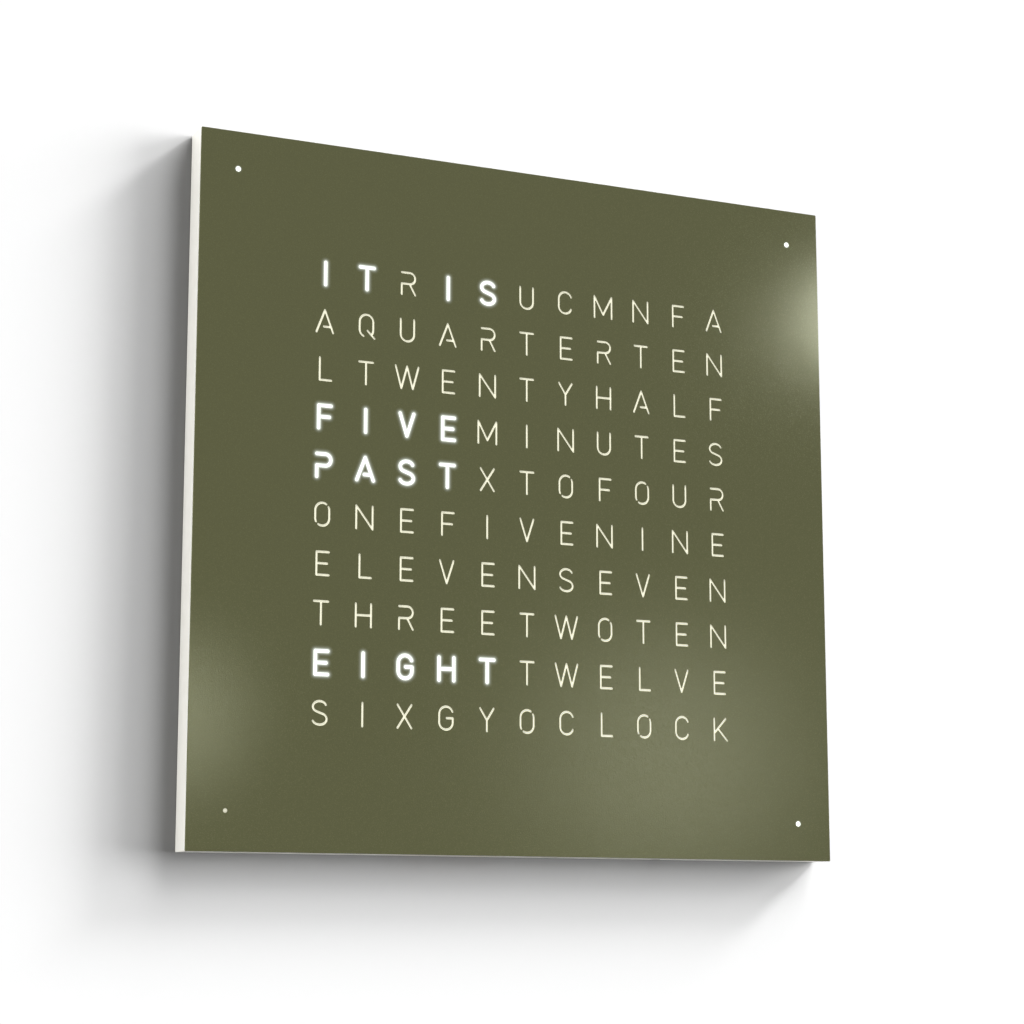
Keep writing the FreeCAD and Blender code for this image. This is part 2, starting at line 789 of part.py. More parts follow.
def make_light_cups():
    """White cups that open from each corner LED towards its dot."""
    body = new_body("light_cups")
    repeat(body, CORNER_DOTS, lambda x, z: [corner_tile(body, x, z, "board_front", "grid_depth")])
    mouths, backs = ["cup_mouth"] * 2, ["cup_throat"] * 2
    repeat(body, CORNER_DOTS, lambda x, z: [funnel(body, x, z, mouths, backs)])


def make_corner_leads():
    """Flat leads in the grooves, from the corners of the LED board to the small corner boards."""
    body = new_body("corner_leads")
    drawing = sketch(body, "box_floor", turn=45)
    start = "(grid_half_x + grid_half_z - grid_corner) / sqrt(2)"
    end = "(dot_reach - cup_side / 2) * sqrt(2) + cup_clip / sqrt(2)"
    rectangle(drawing, start, "-lead_width / 2", end, "lead_width / 2")
    around(body, [pad(body, drawing, "lead_sheet")])


def make_grid_screws():
    """Screws through grid and LED board, with flat heads in the grid's open corner seats."""
    body = new_body("grid_screws")
    seat = "(film_back - grid_seat)"
    tip = "(box_floor - screw_bite)"
    repeat(
        body,
        RIM_SCREWS,
        lambda x, z: [
            disc(body, x, z, "screw_head", seat, "head_depth"),
            disc(body, x, z, "screw_dia", tip, f"{seat} - {tip}"),
        ],
    )


def make_countersunk_screws(name, layout):
    """Screws driven in from the back, with their heads flush at level 0."""
    body = new_body(name)
    profile = [
        ("0", "0"),
        ("screw_head / 2", "0"),
        ("screw_dia / 2", "head_depth"),
        ("screw_dia / 2", "head_depth + screw_bite"),
        ("0", "head_depth + screw_bite"),
    ]
    repeat(body, layout, lambda x, z: [turned_deep(body, x, z, profile)])


def countersink(body, layout, thickness):
    """Conical holes through a plate at the back, for the heads of countersunk screws."""
    profile = [
        ("0", "0"),
        ("head_seat / 2", "0"),
        ("clear_hole / 2", thickness),
        ("0", thickness),
    ]
    repeat(body, layout, lambda x, z: [turned_deep(body, x, z, profile, cut=True)])


# ---------------------------------------------------------------- electronics


def make_control_board():
    body = new_body("control_board")
    slab(
        body,
        "-control_left",
        "-control_bottom",
        "control_right",
        "-control_top",
        "control_back",
        "board_sheet",
    )


def make_board_spacers():
    """Snap-over spacers: a foot under each corner of the board, and a hooked wall past its end."""
    body = new_body("board_spacers")
    low = "-(control_bottom - clip_inset)"
    clips = []
    for outwards, end in (("-", "-control_left"), ("+", "control_right")):
        inwards = "+" if outwards == "-" else "-"
        outer, foot = f"{end} {outwards} clip_wall", f"{end} {inwards} clip_foot"
        profile = [
            (outer, "bay_floor"),
            (foot, "bay_floor"),
            (foot, "control_front"),
            (end, "control_front"),
            (end, "control_back"),
            (f"{end} {inwards} clip_lip", "control_back"),
            (end, "control_back - clip_slope"),
            (outer, "control_back - clip_slope"),
        ]
        drawing = sketch(body, low, "XY_Plane")
        outline(drawing, [(across, f"-({level})") for across, level in profile])
        clips.append(pad(body, drawing, "clip_width"))
    rise = "control_bottom - control_top - 2 * clip_inset - clip_width"
    spread(body, clips, UNUSED, "1", rise, "2")


def make_chip(name, across, width, up_width, depth):
    """A block on the control board's wall side, in the middle of its height."""
    body = new_body(name)
    block(body, across, "-control_middle", width, up_width, f"control_back - {depth}", depth)
    return body


def make_controller_chip():
    body = make_chip(
        "controller_chip", "controller_x", "controller_side", "controller_side", "controller_depth"
    )
    soften(body, "Chamfer", "chip_bevel", lambda edge: is_outermost(edge, body))


def make_driver_chips():
    """A row of equal driver chips."""
    body = make_chip("driver_chips", "driver_x", "driver_side", "driver_side", "driver_depth")
    spread(body, [body.Tip], "driver_pitch * (drivers - 1)", "drivers")


def make_crystal():
    """A low metal can with clipped ends."""
    body = make_chip("crystal", "crystal_x", "crystal_length", "crystal_width", "crystal_depth")
    soften(body, "Chamfer", "crystal_end", runs_deep)


def make_capacitor():
    """A round can on a square foot."""
    body = make_chip("capacitor", "capacitor_x", "capacitor_base", "capacitor_base", "capacitor_foot")
    length = "capacitor_depth - capacitor_foot"
    disc(body, "capacitor_x", "-control_middle", "capacitor_dia", "control_back - capacitor_depth", length)


def make_cell_holder():
    """A narrow tray with a round pocket, so that its wall stands at two ends of the cell."""
    body = new_body("cell_holder")
    top = "control_back - holder_floor - cell_sheet"
    length = "holder_floor + cell_sheet"
    block(body, "cell_x", "-control_middle", "holder_length", "holder_width", top, length)
    bore(body, "cell_x", "-control_middle", "cell_dia + 2 * cell_gap", top, "cell_sheet", forward=True)


def make_coin_cell():
    body = new_body("coin_cell")
    top = "control_back - holder_floor - cell_sheet"
    disc(body, "cell_x", "-control_middle", "cell_dia", top, "cell_sheet")


def make_power_jack():
    """Inlet socket: a block with two round shoulders and a bore in its right-hand end."""
    body = new_body("power_jack")
    middle, top = "jack_end - jack_length / 2", "control_back - jack_height"
    block(body, middle, "-inlet_middle", "jack_length", "jack_width", top, "jack_height")

    def is_shoulder(edge):
        return is_outermost(edge, body) and edge.BoundBox.ZLength < CLOSE

    soften(body, "Fillet", "jack_shoulder", is_shoulder)
    mouth = sketch(body, "jack_end", "YZ_Plane")
    circle(mouth, "-jack_level", "-inlet_middle", "jack_bore")
    pocket(body, mouth, "jack_bore_depth")


def make_jack_pin():
    """The socket's centre contact."""
    body = new_body("jack_pin")
    end = sketch(body, "jack_end - jack_bore_depth", "YZ_Plane")
    circle(end, "-jack_level", "-inlet_middle", "jack_pin")
    pad(body, end, "jack_pin_length")


def make_ribbon_and_headers():
    """A flat ribbon over two headers, one on the back of the LED board and one on the control board."""
    low = "-(control_top + header_inset + header_length / 2)"
    high = "-(tunnel_top + header_inset + header_length / 2)"
    for name, middle, board in (
        ("led_board_header", high, "box_floor"),
        ("control_header", low, "control_back"),
    ):
        header = new_body(name)
        length = f"{board} - ribbon_level"
        block(header, "0", middle, "header_width", "header_length", "ribbon_level", length)
    ribbon = new_body("ribbon_cable")
    middle, height = f"({low} + {high}) / 2", f"{high} - {low} + header_length"
    block(ribbon, "0", middle, "ribbon_width", height, "ribbon_level - ribbon_sheet", "ribbon_sheet")


# ---------------------------------------------------------------- buttons


def post(body, width, depth, start, end):
    """A rectangular length of a button, from one height to another above its face."""
    drawing = sketch(body, start, "XY_Plane")
    middle_rectangle(drawing, "0", "0", width, depth)
    return pad(body, drawing, f"{end} - {start}")


def make_button(index, name):
    """A cap with a bevelled face, a flange inside the bottom wall, and a nose on the switch's plunger."""
    cap = new_body(name + "_button")
    post(cap, "button_width", "button_depth", "0", "flange_start")
    soften(cap, "Chamfer", "button_edge", lambda edge: edge.BoundBox.ZMax < CLOSE)
    width, depth = "button_width + 2 * flange_lip", "button_depth + 2 * flange_lip"
    post(cap, width, depth, "flange_start", "nose_start")
    post(cap, "nose_side", "nose_side", "nose_start", "plunger_start")
    plunger = new_body(name + "_plunger")
    post(plunger, "plunger_side", "plunger_side", "plunger_start", "plunger_end")
    for body in (cap, plunger):
        bind(body, "Placement.Base.x", f"button_x + {index} * button_pitch")
        bind(body, "Placement.Base.y", "-button_level")
        bind(body, "Placement.Base.z", "-button_face")


def make_switch_housings():
    """The tact switches' housings in a row along the control board's lower edge."""
    body = new_body("switch_housings")
    start = "(-button_face + switch_start)"
    middle = f"{start} + switch_length / 2"
    top = "control_back - switch_height"
    housing = block(body, "button_x", middle, "switch_width", "switch_length", top, "switch_height")
    drawing = sketch(body, start, "XY_Plane")
    side = "plunger_side + 2 * plunger_play"
    middle_rectangle(drawing, "button_x", "-button_level", side, side)
    hole = pocket(body, drawing, "plunger_in + plunger_travel", forward=True)
    spread(body, [housing, hole], f"button_pitch * {GAPS_BETWEEN_BUTTONS}", f"{len(BUTTONS)}")


# ---------------------------------------------------------------- back


def make_rear_cover():
    """Sheet over the electronics bay and the ribbon tunnel, flush with the back."""
    body = new_body("rear_cover")
    slab(
        body,
        "-rear_cover_left",
        "-rear_cover_bottom",
        "inlet_left",
        "-rear_cover_top",
        "0",
        "rear_cover_sheet",
    )
    soften(body, "Chamfer", "rear_cover_corner", runs_deep)
    countersink(body, REAR_SCREWS, "rear_cover_sheet")


def make_hanger_plates():
    """Two steel plates, each with a keyhole: a round entry for a screw's head, a slot above for the shank."""
    body = new_body("hanger_plates")
    left = "-hanger_reach"
    drawing = sketch(body, "0")
    clipped_rectangle(drawing, left, "hanger_up", "hanger_width", "hanger_height", "hanger_corner")
    keyhole = [
        pad(body, drawing, "hanger_sheet"),
        bore(body, left, "keyhole_entry", "keyhole_dia", "0", "hanger_sheet", forward=True),
        recess(body, left, "hanger_up", "keyhole_slot", "keyhole_rise", "0", "hanger_sheet", forward=True),
        bore(body, left, "keyhole_end", "keyhole_slot", "0", "hanger_sheet", forward=True),
    ]
    spread(body, keyhole, "2 * hanger_reach", "2")
    countersink(body, HANGER_SCREWS, "hanger_sheet")


def make_wall_pads():
    """Felt squares near the corners that keep the back off the wall."""
    body = new_body("wall_pads")
    repeat(
        body,
        CORNER_PADS,
        lambda x, z: [block(body, x, z, "pad_side", "pad_side", "-pad_proud", "pad_sheet")],
    )


# ---------------------------------------------------------------- the whole clock

make_casing()
make_front_cover()
make_dot_lenses()
make_cover_studs()
make_cover_magnets()
make_light_grid()
make_led_board()
make_leds("letter_leds", CELLS)
make_diffuser_sheet()
make_grid_screws()
make_light_cups()
make_corner_tiles("corner_boards", "box_floor", "board_sheet")
make_leds("corner_leds", CORNER_DOTS)
make_corner_tiles("corner_diffusers", "film_back", "film_sheet")
make_corner_leads()
make_control_board()
make_board_spacers()
make_controller_chip()
make_driver_chips()
make_crystal()
make_capacitor()
make_cell_holder()
make_coin_cell()
make_power_jack()
make_jack_pin()
make_ribbon_and_headers()
make_switch_housings()
for number, button in enumerate(BUTTONS):
    make_button(number, button)
make_rear_cover()
make_countersunk_screws("rear_cover_screws", REAR_SCREWS)
make_hanger_plates()
make_countersunk_screws("hanger_screws", HANGER_SCREWS)
make_wall_pads()
doc.recompute()

for item in doc.Objects:
    if "Invalid" in item.State or "Error" in item.State:
        raise RuntimeError(f"{item.Name} failed: {item.State}")
bodies = [item for item in doc.Objects if item.TypeId == "PartDesign::Body"]
for item in bodies:
    if item.Shape.isNull() or not item.Shape.isValid():
        raise RuntimeError(f"{item.Label} has no sound shape")
os.makedirs("parts", exist_ok=True)
for item in bodies:
    item.Shape.exportStep(f"parts/{item.Label}.step")
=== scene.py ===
"""Looks of the wall-hung word clock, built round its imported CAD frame.

Everything lies in the frame of the CAD part, in metres: the origin is the centre of the casing's back
face, +X points right, +Z up and +Y into the wall, so the cover faces -Y. Sizes that a maker would
quote are held in millimetres, and MM turns them to metres.
"""
import logging
import math
from collections.abc import Callable, Iterable, Mapping, Sequence
from dataclasses import dataclass
from enum import Enum

import bmesh
import bpy
from mathutils import Matrix, Vector, noise
from mathutils.geometry import delaunay_2d_cdt


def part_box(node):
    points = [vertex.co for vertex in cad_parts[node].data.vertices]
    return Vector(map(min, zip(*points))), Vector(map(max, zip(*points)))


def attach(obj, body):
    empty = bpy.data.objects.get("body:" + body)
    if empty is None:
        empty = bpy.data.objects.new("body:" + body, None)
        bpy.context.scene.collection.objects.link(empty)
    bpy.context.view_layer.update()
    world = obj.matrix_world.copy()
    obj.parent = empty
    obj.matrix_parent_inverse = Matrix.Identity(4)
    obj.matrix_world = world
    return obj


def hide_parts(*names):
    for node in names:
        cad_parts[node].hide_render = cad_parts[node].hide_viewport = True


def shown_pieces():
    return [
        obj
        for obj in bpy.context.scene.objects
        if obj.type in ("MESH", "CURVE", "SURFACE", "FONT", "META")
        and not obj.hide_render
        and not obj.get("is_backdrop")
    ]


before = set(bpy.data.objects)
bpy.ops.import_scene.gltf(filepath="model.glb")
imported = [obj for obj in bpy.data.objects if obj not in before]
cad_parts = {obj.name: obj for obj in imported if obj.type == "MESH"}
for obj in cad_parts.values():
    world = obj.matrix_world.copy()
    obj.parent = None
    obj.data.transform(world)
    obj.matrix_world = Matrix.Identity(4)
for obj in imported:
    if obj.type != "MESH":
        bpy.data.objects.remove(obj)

MM = 0.001
TOUCH = 0.01 * MM  # places that are closer than this lie in one plane
WELD = 0.001 * MM  # corners that are closer than this are one
LOG = logging.getLogger("word_clock")

Point = tuple[float, float]
Place = tuple[float, float, float]
Stroke = list[Point]
Tagged = list[tuple[list[int], set[Enum]]]
Colour = tuple[float, float, float, float]
Socket = bpy.types.NodeSocket
Mesh = bmesh.types.BMesh

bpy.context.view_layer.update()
GLOW = "glow"  # the mesh attribute that holds how brightly each place shines
SQUARE = ((1, 1), (-1, 1), (-1, -1), (1, -1))  # the sides of a square's corners, anticlockwise
MIX_FACTOR, MIX_A, MIX_B, MIX_RESULT = 0, 6, 7, 2  # a colour Mix node's sockets, by number
NOISE_SPAN = (0.3, 0.7)  # the noise texture seldom goes beyond these


# ---- Colours and nodes ----

def linear(code: str, share: float = 1.0) -> Colour:
    """Turns an sRGB hex colour to linear values.

    Args:
        code: Six hex digits after a "#".
        share: How many times lighter it gets.

    Returns:
        Linear red, green, blue and an alpha of 1.
    """
    parts = [int(code[i : i + 2], 16) / 255 for i in (1, 3, 5)]
    red, green, blue = (p / 12.92 if p <= 0.04045 else ((p + 0.055) / 1.055) ** 2.4 for p in parts)
    return (red * share, green * share, blue * share, 1.0)


def add_node(
    tree: bpy.types.NodeTree, kind: str, settings: Mapping[str | int, object] | None = None
) -> bpy.types.Node:
    """Adds one node with its settings and links.

    Args:
        tree: The node tree that takes the node.
        kind: The node's type, without its "ShaderNode" prefix.
        settings: An input's value, or the output socket that feeds it, by the input's name or number.
            Any other name is a property's.

    Returns:
        The new node.
    """
    node = tree.nodes.new(f"ShaderNode{kind}")
    for name, value in (settings or {}).items():
        if isinstance(value, Socket):
            tree.links.new(value, node.inputs[name])
        elif isinstance(name, int) or name in node.inputs:
            node.inputs[name].default_value = value
        else:
            setattr(node, name, value)
    return node


class Shading:
    """One material's node tree round its principled shader, with patterns sized in millimetres."""

    def __init__(self, name: str) -> None:
        """Makes the material, bare as yet.

        Args:
            name: What the material is called in Blender.
        """
        self.material = bpy.data.materials.new(name)
        self.material.use_nodes = True
        self.tree = self.material.node_tree
        self.shader = self.tree.nodes["Principled BSDF"]
        self.place = add_node(self.tree, "TexCoord").outputs["Object"]
        self.relief: dict[str, Socket] = {}  # the normal that the next relief lies on

    def set(self, **values: object) -> None:
        """Sets or feeds the shader's own sockets.

        Args:
            values: Each socket's value, or the output socket that feeds it. An underscore in a socket's
                name stands for a space.
        """
        for name, value in values.items():
            socket = self.shader.inputs[name.replace("_", " ")]
            if isinstance(value, Socket):
                self.tree.links.new(value, socket)
            else:
                socket.default_value = value

    def blots(self, size_mm: float, stretch: Sequence[float] = (1, 1, 1), detail: float = 2.0) -> Socket:
        """Makes a pattern of soft blots in the object's own space.

        Args:
            size_mm: Width of a blot.
            stretch: How many times narrower than size_mm the blots are along each axis.
            detail: Octaves of finer noise.

        Returns:
            A value that runs from 0 between the blots to 1 in their middles.
        """
        scaled = add_node(self.tree, "Mapping", {"Scale": stretch, "Vector": self.place}).outputs[0]
        settings = {"Scale": 1 / (size_mm * MM), "Detail": detail, "Vector": scaled}
        cloud = add_node(self.tree, "TexNoise", settings).outputs["Fac"]
        settings = {"From Min": NOISE_SPAN[0], "From Max": NOISE_SPAN[1], "Value": cloud}
        return add_node(self.tree, "MapRange", settings).outputs[0]

    def lay(
        self,
        pattern: Socket,
        hues: Sequence[Colour | Socket] = (),
        roughness: Sequence[float] = (),
        depth_mm: float = 0.0,
    ) -> None:
        """Lays a pattern on the surface, over the reliefs that it has already.

        Args:
            pattern: A value from 0 to 1.
            hues: The colours where it is 0 and where it is 1.
            roughness: The surface's roughness where it is 0 and where it is 1.
            depth_mm: How far the places where it is 1 stand above those where it is 0.
        """
        if hues:
            settings = {"data_type": "RGBA", MIX_FACTOR: pattern, MIX_A: hues[0], MIX_B: hues[1]}
            self.set(Base_Color=add_node(self.tree, "Mix", settings).outputs[MIX_RESULT])
        if roughness:
            settings = {"To Min": roughness[0], "To Max": roughness[1], "Value": pattern}
            self.set(Roughness=add_node(self.tree, "MapRange", settings).outputs[0])
        if depth_mm:
            settings = {"Distance": depth_mm * MM, "Height": pattern, **self.relief}
            self.relief = {"Normal": add_node(self.tree, "Bump", settings).outputs[0]}
            self.set(**self.relief)


# ---- Finishes ----

@dataclass(frozen=True)
class Finish:
    """A surface finish. The name is the real material and how its surface was made."""

    name: str
    hue: str = "#FFFFFF"

    def material(self) -> bpy.types.Material:
        """Gives the finish's Blender material, made on first use.

        Returns:
            The material.
        """
        made = bpy.data.materials.get(self.name)
        if made is None:
            shading = Shading(self.name)
            shading.set(Base_Color=linear(self.hue))
            self.shade(shading)
            made = shading.material
        return made

    def shade(self, shading: Shading) -> None:
        """Adds the finish's own patterns and values to a fresh material."""
        raise NotImplementedError


@dataclass(frozen=True)
class PowderCoat(Finish):
    """Baked polyester powder: a satin skin with a fine orange peel, which breaks up each highlight."""

    pearl: str = "#FFFFFF"  # of its gloss
    # painted light: the coat glows in this colour round each lit letter
    spill: str = "#F4FBF6"  # of the light that a lit letter throws on it
    peel_mm: float = 0.45
    peel_depth_mm: float = 0.022
    speck_mm: float = 0.55  # coarser than the real 0.1, so that it shows
    roughness: Point = (0.08, 0.28)
    mottle: Point = (0.96, 1.04)  # shares of its colour between the specks and on them

    def shade(self, shading: Shading) -> None:
        """Adds peel, powder specks and a painted glow on the coat round a lit letter, which stands for the
        light that spills there.

        Args:
            shading: The fresh material.
        """
        shading.set(IOR=1.5, Specular_IOR_Level=0.25, Specular_Tint=linear(self.pearl))
        shading.lay(shading.blots(self.peel_mm, detail=1.0), depth_mm=self.peel_depth_mm)
        hues = [linear(self.hue, share) for share in self.mottle]
        shading.lay(shading.blots(self.speck_mm, detail=0.0), hues, self.roughness, self.peel_depth_mm / 2)
        # painted light: emission on the coat, as strong as the mesh's glow attribute, stands for spilled
        # light
        glow = add_node(shading.tree, "Attribute", {"attribute_name": GLOW}).outputs["Fac"]
        shading.set(Emission_Color=linear(self.spill), Emission_Strength=glow)


@dataclass(frozen=True)
class LacqueredFibreboard(Finish):
    """Fibreboard sprayed with white lacquer outside. The routed pockets show the bare brown board."""

    shadow: str = "#E6E4DC"
    bare: str = "#B08A5F"
    fibre: str = "#8F6C46"
    fibre_mm: float = 0.7
    fibre_depth_mm: float = 0.04
    cloud_mm: float = 9.0
    peel_mm: float = 1.6
    peel_depth_mm: float = 0.006
    skin_mm: float = 0.5
    roughness: Point = (0.36, 0.85)  # of the lacquer and of the bare board

    def shade(self, shading: Shading) -> None:
        """Puts lacquer on the casing's outer faces and leaves the board bare under them.

        Args:
            shading: The fresh material.
        """
        shading.set(IOR=1.5)
        fibres, clouds = shading.blots(self.fibre_mm, detail=4.0), shading.blots(self.cloud_mm, detail=3.0)
        inside = self.under_skin(shading)
        hues = []
        for pattern, *pair in ((clouds, self.hue, self.shadow), (fibres, self.fibre, self.bare)):
            first, second = (linear(hue) for hue in pair)
            settings = {"data_type": "RGBA", MIX_FACTOR: pattern, MIX_A: first, MIX_B: second}
            hues.append(add_node(shading.tree, "Mix", settings).outputs[MIX_RESULT])
        shading.lay(inside, hues, self.roughness)
        shading.lay(shading.blots(self.peel_mm, detail=1.0), depth_mm=self.peel_depth_mm)
        rough = add_node(shading.tree, "Math", {"operation": "MULTIPLY", 0: fibres, 1: inside}).outputs[0]
        shading.lay(rough, depth_mm=self.fibre_depth_mm)

    def under_skin(self, shading: Shading) -> Socket:
        """Finds the places that lie under the lacquer.

        Args:
            shading: The fresh material.

        Returns:
            1 where a point lies deeper than the lacquer's skin under all outer faces, else 0.
        """
        low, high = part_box("casing")
        parts = add_node(shading.tree, "SeparateXYZ", {"Vector": shading.place}).outputs
        inside: Socket | float = 1.0
        for axis in range(3):
            middle, deep = (low[axis] + high[axis]) / 2, (high[axis] - low[axis]) / 2 - self.skin_mm * MM
            value = parts[axis]
            steps = (("SUBTRACT", middle), ("ABSOLUTE", 0.0), ("LESS_THAN", deep), ("MULTIPLY", inside))
            for operation, other in steps:
                settings = {"operation": operation, 0: value, 1: other}
                value = add_node(shading.tree, "Math", settings).outputs[0]
            inside = value
        return inside


@dataclass(frozen=True)
class CastAcrylic(Finish):
    """Opal acrylic poured into the slots: smooth and milky, and bright where a lamp stands behind it."""

    glare: float = 0.0  # strength of the light that comes through it
    milk: float = 0.95  # share of its colour that is left between its clouds
    cloud_mm: float = 2.5
    ripple_mm: float = 1.2
    ripple_depth_mm: float = 0.005

    def shade(self, shading: Shading) -> None:
        """Adds a milky unevenness, and the light that comes through.

        Args:
            shading: The fresh material.
        """
        shading.set(Roughness=0.32, IOR=1.49, Specular_IOR_Level=0.4)
        shading.lay(shading.blots(self.cloud_mm), (linear(self.hue, self.milk), linear(self.hue)))
        shading.lay(shading.blots(self.ripple_mm, detail=1.0), depth_mm=self.ripple_depth_mm)
        shading.set(Emission_Color=linear(self.hue), Emission_Strength=self.glare)


@dataclass(frozen=True)
class PlatedMetal(Finish):
    """Rolled or turned metal under a thin bright plating, with faint cloudy tarnish."""

    roughness: float = 0.32
    cloudy: float = 1.25  # times the roughness in its dull clouds
    bright: float = 0.8  # times the roughness between them
    tarnish: float = 0.82  # share of its colour that is left in the clouds
    cloud_mm: float = 3.0
    line_mm: float = 8.0
    lines_across: float = 20.0  # drawn lines are this many times narrower than they are long
    line_depth_mm: float = 0.002

    def shade(self, shading: Shading) -> None:
        """Adds cloudy roughness and fine drawn lines along Z.

        Args:
            shading: The fresh material.
        """
        shading.set(Metallic=1.0)
        clouds = shading.blots(self.cloud_mm, detail=3.0)
        hues = linear(self.hue, self.tarnish), linear(self.hue)
        shading.lay(clouds, hues, (self.roughness * self.cloudy, self.roughness * self.bright))
        lines = shading.blots(self.line_mm, (self.lines_across, self.lines_across, 1))
        shading.lay(lines, depth_mm=self.line_depth_mm)


@dataclass(frozen=True)
class MouldedPlastic(Finish):
    """Injection-moulded plastic with a spark-eroded texture, which dulls its shine."""

    roughness: float = 0.5
    flow: float = 0.93  # share of its colour that is left between the flow marks
    flow_mm: float = 12.0
    grain_mm: float = 0.5  # coarser than the real 0.05, so that it shows
    grain_depth_mm: float = 0.006

    def shade(self, shading: Shading) -> None:
        """Adds the mould's grain and a slight flow mottle.

        Args:
            shading: The fresh material.
        """
        shading.set(IOR=1.46, Roughness=self.roughness)
        shading.lay(shading.blots(self.flow_mm, (1, 1, 3)), (linear(self.hue, self.flow), linear(self.hue)))
        shading.lay(shading.blots(self.grain_mm, detail=1.0), depth_mm=self.grain_depth_mm)


@dataclass(frozen=True)
class DiffuserFilm(Finish):
    """Matt polyester film: milky, with the soft patch of each lamp behind it."""

    haze: str = "#E4E6E2"
    light: str = "#FBFFFC"
    haze_mm: float = 4.0
    matt_mm: float = 0.3  # coarser than the real 0.02, so that it shows
    matt_depth_mm: float = 0.003

    def shade(self, shading: Shading) -> None:
        """Adds the film's faint haze and the patches of light.

        Args:
            shading: The fresh material.
        """
        shading.set(IOR=1.6, Roughness=0.55)
        shading.lay(shading.blots(self.haze_mm, detail=3.0), (linear(self.hue), linear(self.haze)))
        shading.lay(shading.blots(self.matt_mm, detail=1.0), depth_mm=self.matt_depth_mm)
        glow = add_node(shading.tree, "Attribute", {"attribute_name": GLOW}).outputs["Fac"]
        shading.set(Emission_Color=linear(self.light), Emission_Strength=glow)


@dataclass(frozen=True)
class SolderMask(Finish):
    """Glass-epoxy board under solder mask: copper tracks stand out slightly and look paler."""

    track: str = "#FFFFFF"
    pitch_mm: float = 2.54
    runs: int = 4  # tracks side by side in one course of the pattern
    copper_mm: float = 0.035
    thread_mm: float = 0.5
    thread_depth_mm: float = 0.003

    def shade(self, shading: Shading) -> None:
        """Adds tracks as courses of long runs with staggered ends, and the cloth's fine weave.

        Args:
            shading: The fresh material.
        """
        shading.set(IOR=1.5, Roughness=0.34)
        settings = {"Rotation": (math.pi / 2, 0, 0), "Vector": shading.place}
        turned = add_node(shading.tree, "Mapping", settings).outputs[0]
        settings = {
            "offset": 0.37,
            "Scale": 1 / (self.pitch_mm * MM * self.runs),
            "Mortar Size": 0.03,
            "Mortar Smooth": 0.2,
            "Brick Width": 1.9,
            "Row Height": 1 / self.runs,
            "Vector": turned,
        }
        tracks = add_node(shading.tree, "TexBrick", settings).outputs["Fac"]
        shading.lay(tracks, (linear(self.hue), linear(self.track)), depth_mm=self.copper_mm)
        weave = shading.blots(self.thread_mm, (1, 1, 3), detail=1.0)
        shading.lay(weave, depth_mm=self.thread_depth_mm)


@dataclass(frozen=True)
class RibbedCable(Finish):
    """Flat cable: soft grey PVC drawn over side-by-side wires, so it is ribbed across its width."""

    # painted shade: the darker colour of the grooves between the ribs
    groove_shade: str = "#6F7376"
    wire_mm: float = 1.27
    rib_mm: float = 0.25

    def shade(self, shading: Shading) -> None:
        """Adds the ribs as a wave across the cable, which runs along Z, with painted shade that darkens the
        grooves.

        Args:
            shading: The fresh material.
        """
        shading.set(IOR=1.52, Roughness=0.45)
        wave = add_node(shading.tree, "SeparateXYZ", {"Vector": shading.place}).outputs["X"]
        for operation, other in (("MULTIPLY", 2 * math.pi / (self.wire_mm * MM)), ("COSINE", 0.0)):
            wave = add_node(shading.tree, "Math", {"operation": operation, 0: wave, 1: other}).outputs[0]
        height = add_node(shading.tree, "MapRange", {"From Min": -1.0, "Value": wave}).outputs[0]
        # painted shade: the grooves take the darker colour, the ribs the cable's own
        shading.lay(height, (linear(self.groove_shade), linear(self.hue)), depth_mm=self.rib_mm)


@dataclass(frozen=True)
class WoolFelt(Finish):
    """Pressed wool felt: matt, with fibres lying every way."""

    # painted shade: the darker colour of the low gaps between the fibres
    gap_shade: str = "#A9A69D"
    fibre_mm: float = 2.4
    slender: float = 5.0  # a fibre's length over its width
    nap_mm: float = 0.12

    def shade(self, shading: Shading) -> None:
        """Adds two crossing lays of fibres with painted shade in the gaps between them, and a soft sheen.

        Args:
            shading: The fresh material.
        """
        shading.set(Roughness=0.95, Sheen_Weight=0.4, Sheen_Roughness=0.6, IOR=1.4)
        along = shading.blots(self.fibre_mm, (self.slender, 1, 1), detail=3.0)
        across = shading.blots(self.fibre_mm, (1, 1, self.slender), detail=3.0)
        both = add_node(shading.tree, "Math", {"operation": "MAXIMUM", 0: along, 1: across}).outputs[0]
        # painted shade: the low gaps between fibres take the darker colour
        shading.lay(both, (linear(self.gap_shade), linear(self.hue)), depth_mm=self.nap_mm)


@dataclass(frozen=True)
class WallPaint(Finish):
    """Matt white emulsion on a plastered wall. Seen from behind, the wall isn't there."""

    stipple_mm: float = 3.0
    stipple_depth_mm: float = 0.005

    def shade(self, shading: Shading) -> None:
        """Adds the roller's faint stipple and hides the wall from behind.

        Args:
            shading: The fresh material.
        """
        shading.set(Roughness=1.0, Specular_IOR_Level=0.0)
        shading.lay(shading.blots(self.stipple_mm), depth_mm=self.stipple_depth_mm)
        behind = add_node(shading.tree, "NewGeometry").outputs["Backfacing"]
        clear = add_node(shading.tree, "BsdfTransparent").outputs[0]
        mixed = add_node(shading.tree, "MixShader", {0: behind, 1: shading.shader.outputs[0], 2: clear})
        shading.tree.links.new(mixed.outputs[0], shading.tree.nodes["Material Output"].inputs["Surface"])


OLIVE_COAT = PowderCoat("Polyester powder coat, satin olive, on steel sheet", "#5C5D3F", pearl="#FBFFDB")
WHITE_COAT = PowderCoat("Polyester powder coat, satin white, on steel sheet", "#DAD9D4")
WHITE_LACQUER = LacqueredFibreboard("Sprayed white lacquer on routed fibreboard", "#EAE8E1")
OPAL_ACRYLIC = CastAcrylic("Cast opal acrylic, cream", "#F7F5DA")
